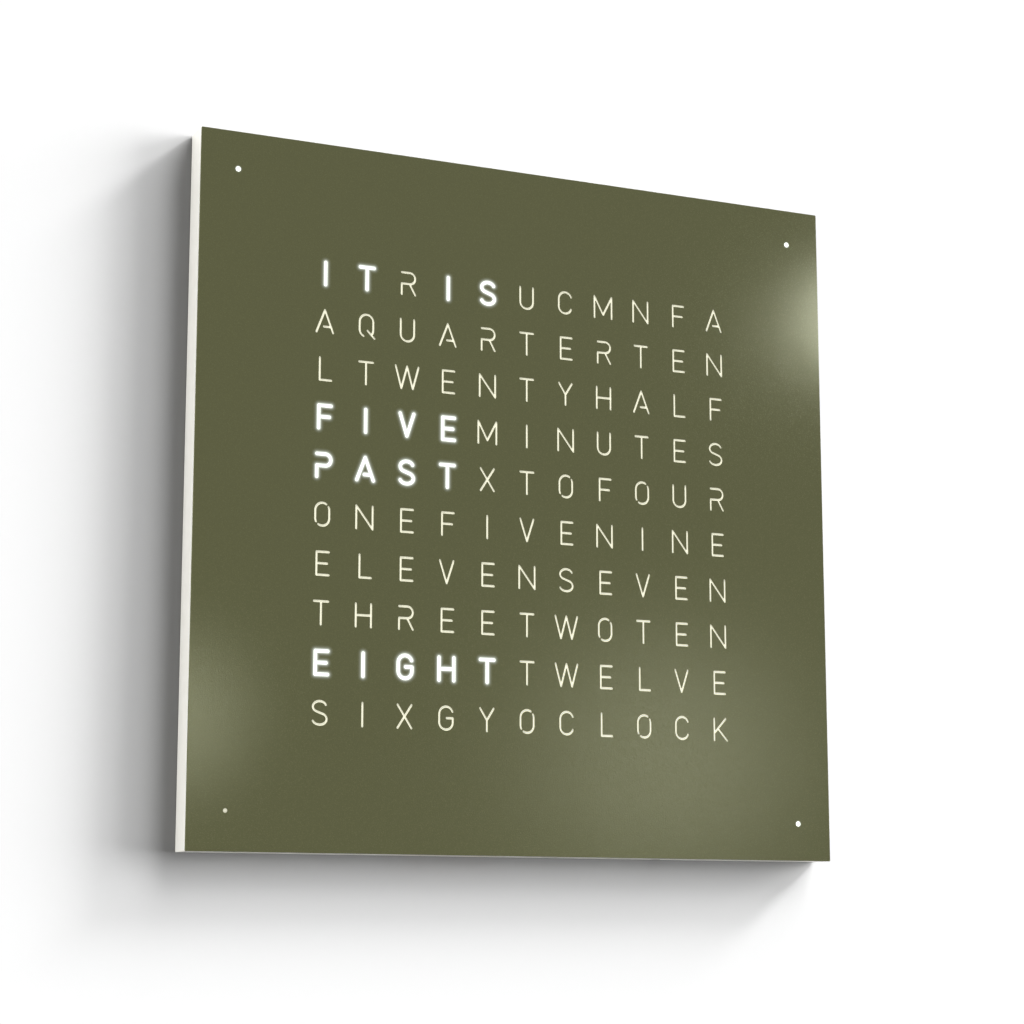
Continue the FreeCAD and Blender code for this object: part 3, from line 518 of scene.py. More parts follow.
# a faint painted glow in the unlit letters, which stands for stray light from the lamps behind
VEILED_ACRYLIC = CastAcrylic("Cast opal acrylic, cream, stray light behind", "#FAF8DF", glare=0.46)
LIT_ACRYLIC = CastAcrylic("Cast opal acrylic, lamp behind", "#FFFFFF", glare=1.6)
ZINC_SCREW = PlatedMetal("Zinc-plated turned steel", "#C9CCCE", roughness=0.3)
ZINC_PLATE = PlatedMetal("Zinc-plated pressed steel", "#BFC3C6", roughness=0.36, cloud_mm=8.0)
NICKEL = PlatedMetal("Nickel-plated sintered magnet", "#C9C5BB", roughness=0.2, line_depth_mm=0.001)
CAN_METAL = PlatedMetal("Drawn nickel-silver can", "#B9BABB", roughness=0.24)
CELL_STEEL = PlatedMetal("Pressed stainless cell case", "#C4C5C4", roughness=0.22)
BRASS = PlatedMetal("Turned brass, gold-flashed", "#C9A84F", roughness=0.28)
TINNED = PlatedMetal("Tinned copper strip", "#C6C8C8", roughness=0.3, cloud_mm=1.0)
GRID_WHITE = MouldedPlastic("Moulded white polycarbonate", "#EDEDEA", roughness=0.55)
ABS_WHITE = MouldedPlastic("Moulded white ABS", "#E6E4DD", roughness=0.42)
NYLON_NATURAL = MouldedPlastic("Moulded natural nylon", "#DEDACA", roughness=0.48)
NYLON_BLACK = MouldedPlastic("Moulded glass-filled black nylon", "#1D1D1F", roughness=0.52)
ACETAL_BLACK = MouldedPlastic("Moulded black acetal", "#161618", roughness=0.35)
EPOXY_BLACK = MouldedPlastic("Transfer-moulded black epoxy", "#26272A", roughness=0.6, grain_mm=0.25)
PHOSPHOR = MouldedPlastic("Cast silicone with yellow phosphor", "#F4E7B4", roughness=0.4, grain_mm=0.25)
FILM = DiffuserFilm("Matt polyester diffuser film", "#EFF1ED")
BOARD_WHITE = SolderMask("Glass epoxy, white solder mask", "#E9E9E4", track="#F7F7F3")
BOARD_GREEN = SolderMask("Glass epoxy, green solder mask", "#1F5B3A", track="#3C8A5A")
RIBBON = RibbedCable("Drawn grey PVC flat cable", "#A7ABAD")
FELT = WoolFelt("Pressed white wool felt", "#E8E6E0")
EMULSION = WallPaint("Matt white emulsion on plaster", "#8C8C8C")


# ---- Meshes ----

def put_in_scene(name: str, data: bpy.types.ID) -> bpy.types.Object:
    """Makes an object and puts it in the scene.

    Args:
        name: The object's name.
        data: What it shows.

    Returns:
        The object.
    """
    made = bpy.data.objects.new(name, data)
    bpy.context.scene.collection.objects.link(made)
    return made


def data_from(mesh: Mesh, name: str) -> bpy.types.Mesh:
    """Turns a finished mesh to an object's data.

    Args:
        mesh: The mesh. It is freed.
        name: The data's name.

    Returns:
        The data.
    """
    data = bpy.data.meshes.new(name)
    mesh.to_mesh(data)
    mesh.free()
    return data


def piece_from(
    mesh: Mesh,
    name: str,
    finish: Finish,
    body: str,
    replaced: Iterable[str] = (),
    crease: float = 35.0,
) -> bpy.types.Object:
    """Turns a finished mesh into a piece of the object.

    Args:
        mesh: The mesh, in the CAD frame. It is freed.
        name: The piece's name.
        finish: What it is dressed with.
        body: The CAD body that it moves with.
        replaced: The CAD nodes that it stands for.
        crease: Degrees between two faces above which their edge looks sharp.

    Returns:
        The new object.
    """
    bmesh.ops.recalc_face_normals(mesh, faces=mesh.faces[:])
    data = data_from(mesh, name)
    data.shade_smooth()
    data.set_sharp_from_angle(angle=math.radians(crease))
    data.materials.append(finish.material())
    made = put_in_scene(name, data)
    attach(made, body)
    if replaced:
        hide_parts(*replaced)
    return made


def islands(node: str) -> list[tuple[Vector, Vector]]:
    """Finds the separate solids of a CAD node.

    Args:
        node: The node's name.

    Returns:
        Each solid's lowest and highest corner, from left to right and then upwards.
    """
    mesh = bmesh.new()
    mesh.from_mesh(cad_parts[node].data)
    bmesh.ops.remove_doubles(mesh, verts=mesh.verts[:], dist=WELD)
    left, boxes = set(mesh.verts), []
    while left:
        solid, rim = set(), {left.pop()}
        while rim:
            solid |= rim
            rim = {edge.other_vert(vertex) for vertex in rim for edge in vertex.link_edges} - solid
        left -= solid
        along = list(zip(*(vertex.co for vertex in solid)))
        boxes.append((Vector([min(part) for part in along]), Vector([max(part) for part in along])))
    mesh.free()
    return sorted(boxes, key=lambda box: (round(box[0].x, 4), round(box[0].z, 4)))


def ellipse(centre: Point, radii: Point, angles: Iterable[float]) -> Stroke:
    """Gives an ellipse's points at some angles, in radians."""
    return [(centre[0] + radii[0] * math.cos(a), centre[1] + radii[1] * math.sin(a)) for a in angles]


def circle(centre: Point, radius: float, steps: int = 32) -> Stroke:
    """Gives the corners of a round outline, anticlockwise."""
    return ellipse(centre, (radius, radius), [2 * math.pi * i / steps for i in range(steps)])


def arc(centre: Point, radii: Point, start: float, end: float, step: float = 10.0) -> Stroke:
    """Gives points along an elliptical arc.

    Args:
        centre: The ellipse's centre.
        radii: Its radii across and up.
        start: First angle in degrees, anticlockwise from the right.
        end: Last angle, which may be smaller than the first.
        step: The most degrees between two points.

    Returns:
        The points, from start to end.
    """
    parts = max(2, math.ceil(abs(end - start) / step))
    turns = [math.radians(start + (end - start) * i / parts) for i in range(parts + 1)]
    return ellipse(centre, radii, turns)


def thicken(stroke: Stroke, radius: float, cap_steps: int = 8) -> Stroke:
    """Gives the outline that a round pen leaves along a smooth stroke.

    Args:
        stroke: The pen's path. A single point gives a dot.
        radius: Half the pen's width.
        cap_steps: Faces round each end.

    Returns:
        The outline's corners, anticlockwise.
    """
    if len(stroke) == 1:
        return circle(stroke[0], radius, 4 * cap_steps)
    headings = [math.atan2(b[1] - a[1], b[0] - a[0]) for a, b in zip(stroke, stroke[1:])]
    sides: tuple[Stroke, Stroke] = ([], [])
    for i, (x, y) in enumerate(stroke):
        before, after = headings[max(i - 1, 0)], headings[min(i, len(headings) - 1)]
        turn = math.remainder(after - before, 2 * math.pi)
        across, reach = before + turn / 2 + math.pi / 2, radius / math.cos(turn / 2)
        for side, sign in zip(sides, (1, -1)):
            side.append((x + sign * reach * math.cos(across), y + sign * reach * math.sin(across)))
    caps = []
    for centre, heading in ((stroke[-1], headings[-1]), (stroke[0], headings[0] + math.pi)):
        turns = [heading + math.pi / 2 - math.pi * k / cap_steps for k in range(1, cap_steps)]
        caps.append(ellipse(centre, (radius, radius), turns))
    clockwise = sides[0] + caps[0] + sides[1][::-1] + caps[1]
    return clockwise[::-1]


def distance_to(point: Point, stroke: Stroke) -> float:
    """Measures how far a point lies from a stroke.

    Args:
        point: The point.
        stroke: The stroke's corners, or its single point.

    Returns:
        The least distance, in their units.
    """
    best = math.dist(point, stroke[0])
    for a, b in zip(stroke, stroke[1:]):
        along = (b[0] - a[0], b[1] - a[1])
        length = along[0] ** 2 + along[1] ** 2
        share = ((point[0] - a[0]) * along[0] + (point[1] - a[1]) * along[1]) / length if length else 0.0
        share = min(1.0, max(0.0, share))
        best = min(best, math.dist(point, (a[0] + share * along[0], a[1] + share * along[1])))
    return best


def cut(drawing: Sequence[tuple[Stroke, Enum]], merge_mm: float = 1e-5) -> tuple[list[Point], Tagged]:
    """Cuts a flat drawing of overlapping outlines into triangles.

    Args:
        drawing: Each closed outline, in millimetres, with what the area inside it is.
        merge_mm: Corners that are closer than this become one.

    Returns:
        The corners, and each triangle with the tags of all outlines that it lies in.
    """
    points: list[Vector] = []
    loops = []
    for outline, _ in drawing:
        loops.append(list(range(len(points), len(points) + len(outline))))
        points.extend(Vector(corner) for corner in outline)
    corners, _, faces, _, _, owners = delaunay_2d_cdt(points, [], loops, 0, merge_mm)
    tagged = [(list(face), {drawing[i][1] for i in owner}) for face, owner in zip(faces, owners)]
    return [(corner.x, corner.y) for corner in corners], tagged


def plate(corners: Sequence[Point], triangles: Iterable[Sequence[int]], front: float, back: float) -> Mesh:
    """Makes a closed plate from flat triangles.

    Args:
        corners: Every corner's x and z, in millimetres.
        triangles: The plate's triangles, by corner.
        front: y of the face that looks along -Y, in metres.
        back: y of the other face.

    Returns:
        The plate's mesh.
    """
    mesh = bmesh.new()
    fronts: dict[int, bmesh.types.BMVert] = {}
    for triangle in triangles:
        for i in triangle:
            if i not in fronts:
                fronts[i] = mesh.verts.new((corners[i][0] * MM, front, corners[i][1] * MM))
        mesh.faces.new([fronts[i] for i in triangle])
    made = bmesh.ops.extrude_face_region(mesh, geom=mesh.faces[:], use_keep_orig=True)["geom"]
    moved = [v for v in made if isinstance(v, bmesh.types.BMVert)]
    bmesh.ops.translate(mesh, verts=moved, vec=(0, back - front, 0))
    bmesh.ops.recalc_face_normals(mesh, faces=mesh.faces[:])
    return mesh


def lathe(mesh: Mesh, profile: Callable[[float], Sequence[Point]], centre: Point, steps: int = 32) -> None:
    """Turns a profile about an axis along Y into a closed surface.

    Args:
        mesh: Takes the surface.
        profile: For an angle, the radius and y of each point. The first and the last lie on the axis.
        centre: The axis's x and z.
        steps: Faces round the axis.
    """
    ends = [mesh.verts.new((centre[0], y, centre[1])) for _, y in (profile(0.0)[0], profile(0.0)[-1])]
    columns = []
    for angle in (2 * math.pi * i / steps for i in range(steps)):
        across, up = math.cos(angle), math.sin(angle)
        inner = profile(angle)[1:-1]
        column = [mesh.verts.new((centre[0] + r * across, y, centre[1] + r * up)) for r, y in inner]
        columns.append([ends[0], *column, ends[1]])
    for column, following in zip(columns, columns[1:] + columns[:1]):
        for corners in zip(column, column[1:], following[1:], following):
            mesh.faces.new(list(dict.fromkeys(corners)))


# ---- Letters ----

def chain(*points: Point) -> list[Stroke]:
    """Gives the straight strokes from each point to the next."""
    return [[a, b] for a, b in zip(points, points[1:])]


@dataclass(frozen=True)
class Alphabet:
    """Capitals drawn with a round pen, in millimetres from the middle of their cell.

    A closed counter would fall out of a cut sheet, so A, D, O, P, Q and R leave it held by a bridge.
    """

    cap: float = 16.0
    pen: float = 1.54
    stem: float = -3.4  # x of the stem of E and F
    bar: float = 4.75  # x of the ends of their bars, and of L's
    short: float = 1.1  # how much shorter their middle bar is
    narrow: float = 4.7  # half-width of T, V, X and Y
    leg: float = 5.6  # half-width of A
    cross: float = -3.6  # height of A's bar
    cross_start: float = -0.6  # where it starts, short of the left leg
    upright: float = 5.1  # half-width of H
    diagonal: float = 5.5  # half-width of N
    em: float = 6.4  # half-width of M
    double: float = 7.9  # half-width of W
    bowl: float = 4.65  # half-width of the round letters
    belly: float = 4.5  # radius of D's corners
    back: float = -4.2  # x of the stem of D, P and R
    waist: float = -0.2  # height at which the loop of P and R closes
    bridge: float = 29.0  # degrees left uncut at each bridge of O
    bridge_at: float = 42.0  # where that bridge is, above the right of O's upper bowl
    mouth: float = 20.0  # degrees from level to the ends of C and G

    @property
    def top(self) -> float:
        """Height of the pen's path along the top of a letter."""
        return (self.cap - self.pen) / 2

    def straight(self) -> dict[str, list[Stroke]]:
        """Draws the letters made of straight strokes.

        Returns:
            Each letter's strokes.
        """
        top, low, stem, bar, wide = self.top, -self.top, self.stem, self.bar, self.narrow
        leg, side, slant, em, double = self.leg, self.upright, self.diagonal, self.em, self.double
        bars = [[(stem, low), (stem, top)], [(stem, top), (bar, top)], [(stem, 0), (bar - self.short, 0)]]
        cross = [(self.cross_start, self.cross), (leg * (top - self.cross) / (2 * top), self.cross)]
        crotch, spine, foot = (0, -0.3), -3.9, stem + 0.4  # the fork of Y, and the stems of K and L
        return {
            "A": chain((-leg, low), (0, top), (leg, low)) + [cross],
            "E": bars + [[(stem, low), (bar, low)]],
            "F": bars,
            "H": [[(-side, low), (-side, top)], [(side, low), (side, top)], [(-side, 0), (side, 0)]],
            "I": [[(0, low), (0, top)]],
            "K": [
                [(spine, low), (spine, top)],
                [(spine, -2.4), (wide, top)],
                [(-1.2, 0.6), (wide + 1, low)],
            ],
            "L": [[(foot, low), (foot, top)], [(foot, low), (bar, low)]],
            "M": chain((-em, low), (-em, top), (0, -5), (em, top), (em, low)),
            "N": chain((-slant, low), (-slant, top), (slant, low), (slant, top)),
            "T": [[(-wide, top), (wide, top)], [(0, top), (0, low)]],
            "V": chain((-wide, top), (0, low), (wide, top)),
            "W": chain((-double, top), (-double / 2, low), (0, top), (double / 2, low), (double, top)),
            "X": [[(-wide, low), (wide, top)], [(-wide, top), (wide, low)]],
            "Y": [[(-wide, top), crotch], [(wide, top), crotch], [crotch, (0, low)]],
        }

    def curved(self) -> dict[str, list[Stroke]]:
        """Draws the letters with round strokes.

        Returns:
            Each letter's strokes.
        """
        top, low, bowl, back, waist = self.top, -self.top, self.bowl, self.back, self.waist
        upper, lower, round_ = (0, top - bowl), (0, bowl - top), (bowl, bowl)
        first, last = self.bridge_at + self.bridge / 2, 180 + self.bridge_at - self.bridge / 2
        ring = arc(upper, round_, first, 180) + arc(lower, round_, 180, last)
        hook = arc(upper, round_, self.mouth, 180)
        loop, belly = (top - waist) / 2, self.belly
        head = [(back, top)] + arc((1.4, (top + waist) / 2), (loop, loop), 90, -90) + [(back, waist)]
        stalk = [(back, waist), (back, low)]
        back_end = back - 0.3  # x of the upper part of D's stem
        side = arc((0.3, low + belly), (belly, belly), 270, 360)
        side += arc((0.3, top - belly), (belly, belly), 0, 90)
        return {
            "C": [hook + arc(lower, round_, 180, 360 - self.mouth)],
            "D": [[(back, low), *side, (back_end, top)], [(back_end, top), (back_end, -1.9)]],
            "G": [hook + arc(lower, round_, 180, 360) + [(bowl, 0)], [(bowl, 0), (0.4, 0)]],
            "O": [ring, [(-x, -y) for x, y in ring]],
            "P": [head, stalk],
            "Q": [
                arc(lower, round_, 245, 180) + arc(upper, round_, 180, 0) + arc(lower, round_, 360, 330),
                [(0.8, -3.2), (5.5, low - 0.7)],
            ],
            "R": [head, stalk, [(1.3, waist), (5.2, low)]],
            "S": [arc((0, 3.85), (4.4, top - 3.85), 22, 238) + arc((0, -3.7), (4.7, top - 3.7), 58, -157)],
            "U": [[(-bowl, top)] + arc(lower, round_, 180, 360) + [(bowl, top)]],
        }


@dataclass(frozen=True)
class LetterField:
    """The time in words, "it is five past eight", to which the three lit corner dots add three minutes."""

    rows: tuple[str, ...] = (
        "ITRISUCMNFA",
        "AQUARTERTEN",
        "LTWENTYHALF",
        "FIVEMINUTES",
        "PASTXTOFOUR",
        "ONEFIVENINE",
        "ELEVENSEVEN",
        "THREETWOTEN",
        "EIGHTTWELVE",
        "SIXGYOCLOCK",
    )
    shown: tuple[tuple[int, str], ...] = ((0, "IT"), (0, "IS"), (3, "FIVE"), (4, "PAST"), (8, "EIGHT"))
    aside_mm: float = 0.15  # the letters stand this far to the right of their lamps

    def is_lit(self, row: int, column: int) -> bool:
        """Tells whether a cell's letter belongs to a lit word."""
        starts = [(self.rows[at].find(word), len(word)) for at, word in self.shown if at == row]
        return any(start <= column < start + length for start, length in starts)

    def cells(self) -> list[tuple[str, bool, Point]]:
        """Puts each letter over its lamp.

        Returns:
            Each letter, whether it is lit, and its middle in millimetres.
        """
        low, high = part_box("letter_leds")
        lamp_low, lamp_high = islands("letter_leds")[0]
        half = (lamp_high - lamp_low) / 2
        left, right, bottom, top = low.x + half.x, high.x - half.x, low.z + half.z, high.z - half.z
        made = []
        for row, letters in enumerate(self.rows):
            for column, letter in enumerate(letters):
                x = left + (right - left) * column / (len(letters) - 1)
                z = top - (top - bottom) * row / (len(self.rows) - 1)
                made.append((letter, self.is_lit(row, column), (x / MM + self.aside_mm, z / MM)))
        return made


# ---- Cover ----

class Area(Enum):
    """What an outline of the cover's drawing encloses."""

    SHEET = "sheet"
    SLOT = "slot of an unlit letter"
    LIT_SLOT = "slot of a lit letter"
    DOT = "dot hole"
    # a band of the coat that glows with painted light
    SPILL = "band of spilled light"


class Assembly:
    """A sub-assembly: CAD nodes that keep their shape, and pieces modelled in the place of others."""

    FINISHES: Mapping[Finish, Sequence[str]]  # the CAD nodes that each finish dresses

    def build(self) -> None:
        """Makes the sub-assembly's own pieces."""
        raise NotImplementedError

    def dress(self) -> None:
        """Dresses the CAD nodes that keep their shape."""
        for finish, nodes in self.FINISHES.items():
            for node in nodes:
                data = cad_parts[node].data
                data.materials.clear()
                data.materials.append(finish.material())


@dataclass
class Cover(Assembly):
    """The lift-off front: a coated steel sheet with cut letters, their acrylic fill and the dot plugs."""

    letters: LetterField = LetterField()
    alphabet: Alphabet = Alphabet()
    edge_mm: float = 0.22  # rounding that the coat leaves on the sheet's front edge
    corner_mm: float = 0.8
    dot_mm: float = 3.0
    plug_gap_mm: float = 0.05
    sink_mm: float = 0.85  # the letters' fill lies this far under the face
    plug_sink_mm: float = 0.2
    dome_mm: float = 0.15
    # the painted glow on the coat: its strength falls off with distance from a lit slot
    spill: tuple[Point, ...] = (  # distance from a lit slot in mm, and the light there
        (0.0, 1.4),
        (0.35, 0.8),
        (0.7, 0.38),
        (1.1, 0.19),
        (1.5, 0.09),
        (2.2, 0.03),
        (3.0, 0.0),
    )
    far_mm: float = 25.0  # a stroke that starts further off throws no light here
    dot_spread: float = 0.4  # a dot's spill is this much narrower than a letter's
    unlit_dot: Point = (-1, -1)  # the lower left dot

    BODY = "cover"
    FINISHES = {ZINC_SCREW: ("cover_studs",)}

    def outline(self) -> Stroke:
        """Draws the sheet's outline with its rounded corners.

        Returns:
            Its corners, in millimetres.
        """
        high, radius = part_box("front_cover")[1], self.corner_mm
        corners = []
        for quarter, (right, up) in enumerate(SQUARE):
            centre = (right * (high.x / MM - radius), up * (high.z / MM - radius))
            corners += arc(centre, (radius, radius), 90 * quarter, 90 * quarter + 90, step=15)
        return corners

    def dots(self) -> list[tuple[Point, bool]]:
        """Finds the corner dots.

        Returns:
            Each dot's middle in millimetres, and whether it is lit.
        """
        made = []
        for low, high in islands("dot_lenses"):
            middle = (low + high) / 2 / MM
            side = (math.copysign(1, middle.x), math.copysign(1, middle.z))
            made.append(((middle.x, middle.z), side != self.unlit_dot))
        return made

    def slots(self) -> list[tuple[Stroke, bool]]:
        """Puts the letters' strokes in their cells.

        Returns:
            Each stroke's path in millimetres, and whether it is lit.
        """
        glyphs = {**self.alphabet.straight(), **self.alphabet.curved()}
        made = []
        for letter, lit, (x, z) in self.letters.cells():
            made += [([(x + a, z + b) for a, b in stroke], lit) for stroke in glyphs[letter]]
        return made

    def lit_strokes(self) -> list[tuple[Stroke, float, float]]:
        """Gives each lit stroke with its half-width and the share of the spill's full reach."""
        made = [(stroke, self.alphabet.pen / 2, 1.0) for stroke, lit in self.slots() if lit]
        return made + [([middle], self.dot_mm / 2, self.dot_spread) for middle, lit in self.dots() if lit]

    def drawing(self) -> list[tuple[Stroke, Area]]:
        """Draws the sheet with every slot, hole and band of painted glow round the lit slots.

        Returns:
            Each outline in millimetres, with what it encloses.
        """
        made = [(self.outline(), Area.SHEET)]
        for stroke, lit in self.slots():
            made.append((thicken(stroke, self.alphabet.pen / 2), Area.LIT_SLOT if lit else Area.SLOT))
        made += [(circle(middle, self.dot_mm / 2), Area.DOT) for middle, _ in self.dots()]
        for stroke, half, share in self.lit_strokes():
            made += [(thicken(stroke, half + away * share), Area.SPILL) for away, _ in self.spill[1:]]
        return made

    def light_at(self, point: Point, strokes: list[tuple[Stroke, float, float]]) -> float:
        """Gives how brightly the painted glow, which stands for spilled light, shines at a point of the
        face.

        Args:
            point: Where, in millimetres.
            strokes: The lit strokes, as lit_strokes gives them.

        Returns:
            The light at the nearest of the strokes' distances.
        """
        nearest = self.spill[-1][0]
        for stroke, half, share in strokes:
            if max(abs(stroke[0][0] - point[0]), abs(stroke[0][1] - point[1])) <= self.far_mm:
                nearest = min(nearest, max(0.0, distance_to(point, stroke) - half) / share)
        for (near, bright), (far, dim) in zip(self.spill, self.spill[1:]):
            if nearest <= far:
                return bright + (dim - bright) * (nearest - near) / (far - near)
        return 0.0

    def build_sheet(self, corners: list[Point], tagged: Tagged) -> None:
        """Builds the coated sheet with its slots, and marks where it glows with painted light round the lit
        slots.

        Args:
            corners: The corners of the drawing, in millimetres.
            tagged: Its triangles, with what each one is.
        """
        low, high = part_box("front_cover")
        open_areas = {Area.SLOT, Area.LIT_SLOT, Area.DOT}
        solid = [t for t, tags in tagged if Area.SHEET in tags and not tags & open_areas]
        mesh = plate(corners, solid, low.y, high.y)
        layer = mesh.verts.layers.float.new(GLOW)
        strokes = self.lit_strokes()
        for vertex in mesh.verts:
            if vertex.co.y - low.y < TOUCH:
                vertex[layer] = self.light_at((vertex.co.x / MM, vertex.co.z / MM), strokes)
        self.round_edge(mesh, low, high)
        piece_from(mesh, "cover_sheet", OLIVE_COAT, self.BODY, ["front_cover"], crease=10)

    def round_edge(self, mesh: Mesh, low: Vector, high: Vector) -> None:
        """Rounds the sheet's outer front edge.

        Args:
            mesh: The sheet.
            low: Its lowest corner.
            high: Its highest corner.
        """

        def on_rim(vertex: bmesh.types.BMVert) -> bool:
            """Tells whether a vertex of the front face lies on the sheet's outline."""
            off = min(vertex.co.x - low.x, high.x - vertex.co.x, vertex.co.z - low.z, high.z - vertex.co.z)
            return vertex.co.y - low.y < TOUCH and off < self.corner_mm * MM / 2

        def is_corner(edge: bmesh.types.BMEdge) -> bool:
            """Tells whether an edge joins the front face and the outer side."""
            return edge.is_manifold and edge.calc_face_angle(0) > 1.0 and all(on_rim(v) for v in edge.verts)

        edges = [e for e in mesh.edges if is_corner(e)]
        bmesh.ops.bevel(mesh, geom=edges, offset=self.edge_mm * MM, segments=3, profile=0.5, affect="EDGES")

    def build_plugs(self) -> None:
        """Turns the dot plugs, each with a slight dome under the face."""
        low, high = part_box("dot_lenses")
        radius, front = (self.dot_mm / 2 - self.plug_gap_mm) * MM, low.y + self.plug_sink_mm * MM
        turns = [math.radians(angle) for angle in range(0, 91, 15)]
        profile = [(radius * math.sin(a), front + self.dome_mm * MM * (1 - math.cos(a))) for a in turns]
        profile += [(radius, high.y), (0, high.y)]
        plugs = (("lit_dot_plugs", True, LIT_ACRYLIC), ("unlit_dot_plug", False, OPAL_ACRYLIC))
        for name, wanted, finish in plugs:
            mesh = bmesh.new()
            for x, z in (middle for middle, lit in self.dots() if lit is wanted):
                lathe(mesh, lambda angle: profile, (x * MM, z * MM))
            piece_from(mesh, name, finish, self.BODY, ["dot_lenses"])

    def build(self) -> None:
        """Builds the sheet, the acrylic in its slots, flush with its back, and the dot plugs."""
        corners, tagged = cut(self.drawing())
        self.build_sheet(corners, tagged)
        low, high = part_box("front_cover")
        fills = ("letter_fill", Area.SLOT, VEILED_ACRYLIC), ("lit_letter_fill", Area.LIT_SLOT, LIT_ACRYLIC)
        for name, area, finish in fills:
            inside = [t for t, tags in tagged if area in tags]
            mesh = plate(corners, inside, low.y + self.sink_mm * MM, high.y)
            piece_from(mesh, name, finish, self.BODY)
        self.build_plugs()


# ---- Fasteners and pads ----

class Head(Enum):
    """The form of a screw's head."""

    COUNTERSUNK = "countersunk"
    PAN = "pan"


@dataclass(frozen=True)
class Screw:
    """A cross-recessed screw with a rolled thread. Sizes in millimetres; its length is the CAD node's."""

    head: Head
    steps: int = 64  # faces round the axis
    radius: float = 1.3  # over the thread
    core: float = 0.98
    pitch: float = 0.9
    crest: float = 1.6  # how much steeper the thread's sides are than its pitch alone would make them
    head_depth: float = 1.4
    head_round: float = 0.35  # rounding of a pan head's rim
    tip: float = 1.3  # length of the point
    blunt: float = 0.2  # length of the point's blunt end
    point: float = 0.45  # share of the core's radius that the blunt end has
    cross: float = 1.55  # reach of the recess's arms
    arm: float = 0.38  # half the width of an arm
    wall: float = 0.14  # width of an arm's sloping side
    recess: float = 0.95
    ramp: float = 0.5  # share of the recess's depth that is lost at its arms' ends
    driven: float = 0.7  # radians between the recesses of one screw and the next
    rings: int = 24  # faces from the head's middle to its rim
    turn_steps: int = 6  # faces along one turn of the thread

    def sunk(self, across: float, up: float) -> float:
        """Measures the cross recess.

        Args:
            across: A point of the head, along one pair of the recess's arms.
            up: The same point, along the other pair.

        Returns:
            How deep the recess lies under the point.
        """
        near, far = sorted((abs(across), abs(up)))
        inside = min(self.arm - near, self.cross - far)
        floor = self.recess * (1 - self.ramp * far / self.cross)
        return floor * min(1.0, max(0.0, inside / self.wall))

    def profile(self, angle: float, head: float, length: float, turned: float) -> list[Point]:
        """Gives the screw's outline at one angle.

        Args:
            angle: Where round the axis, in radians.
            head: The head's radius.
            length: From the head's face to the point.
            turned: Where the recess stopped when the screw was driven, in radians.

        Returns:
            Radius and depth under the head's face of each point, from the face's middle to the point.
        """
        outline = []
        for ring in range(self.rings + 1):
            radius = head * ring / self.rings
            across, up = radius * math.cos(angle - turned), radius * math.sin(angle - turned)
            rim = max(0.0, radius - head + self.head_round) / self.head_round
            fall = self.head_round * (1 - math.sqrt(1 - rim**2)) if self.head is Head.PAN else 0.0
            outline.append((radius, self.sunk(across, up) + fall))
        if self.head is Head.PAN:
            outline.append((head, self.head_depth))
        thread = length - self.tip - self.head_depth
        steps = math.ceil(thread / self.pitch * self.turn_steps)
        for step in range(steps + 1):
            down = thread * step / steps
            phase = ((self.head_depth + down) / self.pitch - angle / (2 * math.pi)) % 1
            crest = max(0.0, 1 - self.crest * abs(2 * phase - 1)) * min(1.0, down / self.pitch)
            outline.append((self.core + (self.radius - self.core) * crest, self.head_depth + down))
        return outline + [(self.core * self.point, length - self.blunt), (0.0, length)]

    def build(self, node: str, name: str, facing: int) -> None:
        """Makes every screw of a CAD node and replaces the node.

        Args:
            node: The node, whose solids say where the screws are.
            name: The new piece's name.
            facing: The side that the heads face along Y, 1 or -1.
        """
        mesh = bmesh.new()
        for index, (low, high) in enumerate(islands(node)):
            face = high.y if facing > 0 else low.y
            head, length = (high.x - low.x) / 2 / MM, (high.y - low.y) / MM

            def placed(angle: float) -> list[Point]:
                """Gives the profile at its place on the clock, in metres."""
                outline = self.profile(angle, head, length, turned=self.driven * index)
                return [(r * MM, face - facing * depth * MM) for r, depth in outline]

            lathe(mesh, placed, ((low.x + high.x) / 2, (low.z + high.z) / 2), self.steps)
        piece_from(mesh, name, ZINC_SCREW, "casing", [node], crease=30)


@dataclass(frozen=True)
class FeltPads:
    """The pads that keep the back off the wall: cut from pressed felt, so their rims are soft."""

    cuts: int = 18
    crown_mm: float = 0.18  # how much lower the rim lies than the middle
    fuzz_mm: float = 0.07
    tuft_mm: float = 0.8
    pinch: float = 0.025  # share by which both faces are narrower than the pad's waist

    def build(self) -> None:
        """Makes the pads, pressed flat on the casing and slightly crowned towards the wall."""
        mesh = bmesh.new()
        for low, high in islands("wall_pads"):
            cube = bmesh.ops.create_cube(mesh, size=2.0)["verts"]
            edges = list({e for v in cube for e in v.link_edges})
            bmesh.ops.subdivide_edges(mesh, edges=edges, cuts=self.cuts, use_grid_fill=True)
            for vertex in (v for v in mesh.verts if not v.tag):
                vertex.co = (low + high) / 2 + self.shaped(vertex.co, (high - low) / 2)
                vertex.tag = True
        made = piece_from(mesh, "felt_pads", FELT, "casing", ["wall_pads"], crease=80)

    def shaped(self, spot: Vector, half: Vector) -> Vector:
        """Gives a point of one pad.

        Args:
            spot: The point on a cube that reaches from -1 to 1.
            half: Half the pad's size.

        Returns:
            The point from the pad's middle, in metres.
        """
        tuft = noise.noise(Vector((spot.x, spot.y, spot.z)) * (half.x / MM / self.tuft_mm))
        fuzz = self.fuzz_mm * MM * (0.5 + 0.5 * tuft)
        pulled = 1 - self.pinch * abs(spot.y) ** 3 - fuzz / half.x
        rim = max(abs(spot.x), abs(spot.z))
        drop = self.crown_mm * MM * rim**6 + fuzz if spot.y > 0.99 else 0.0
        return Vector((spot.x * half.x * pulled, spot.y * half.y - drop, spot.z * half.z * pulled))


# ---- Casing, back and inside ----

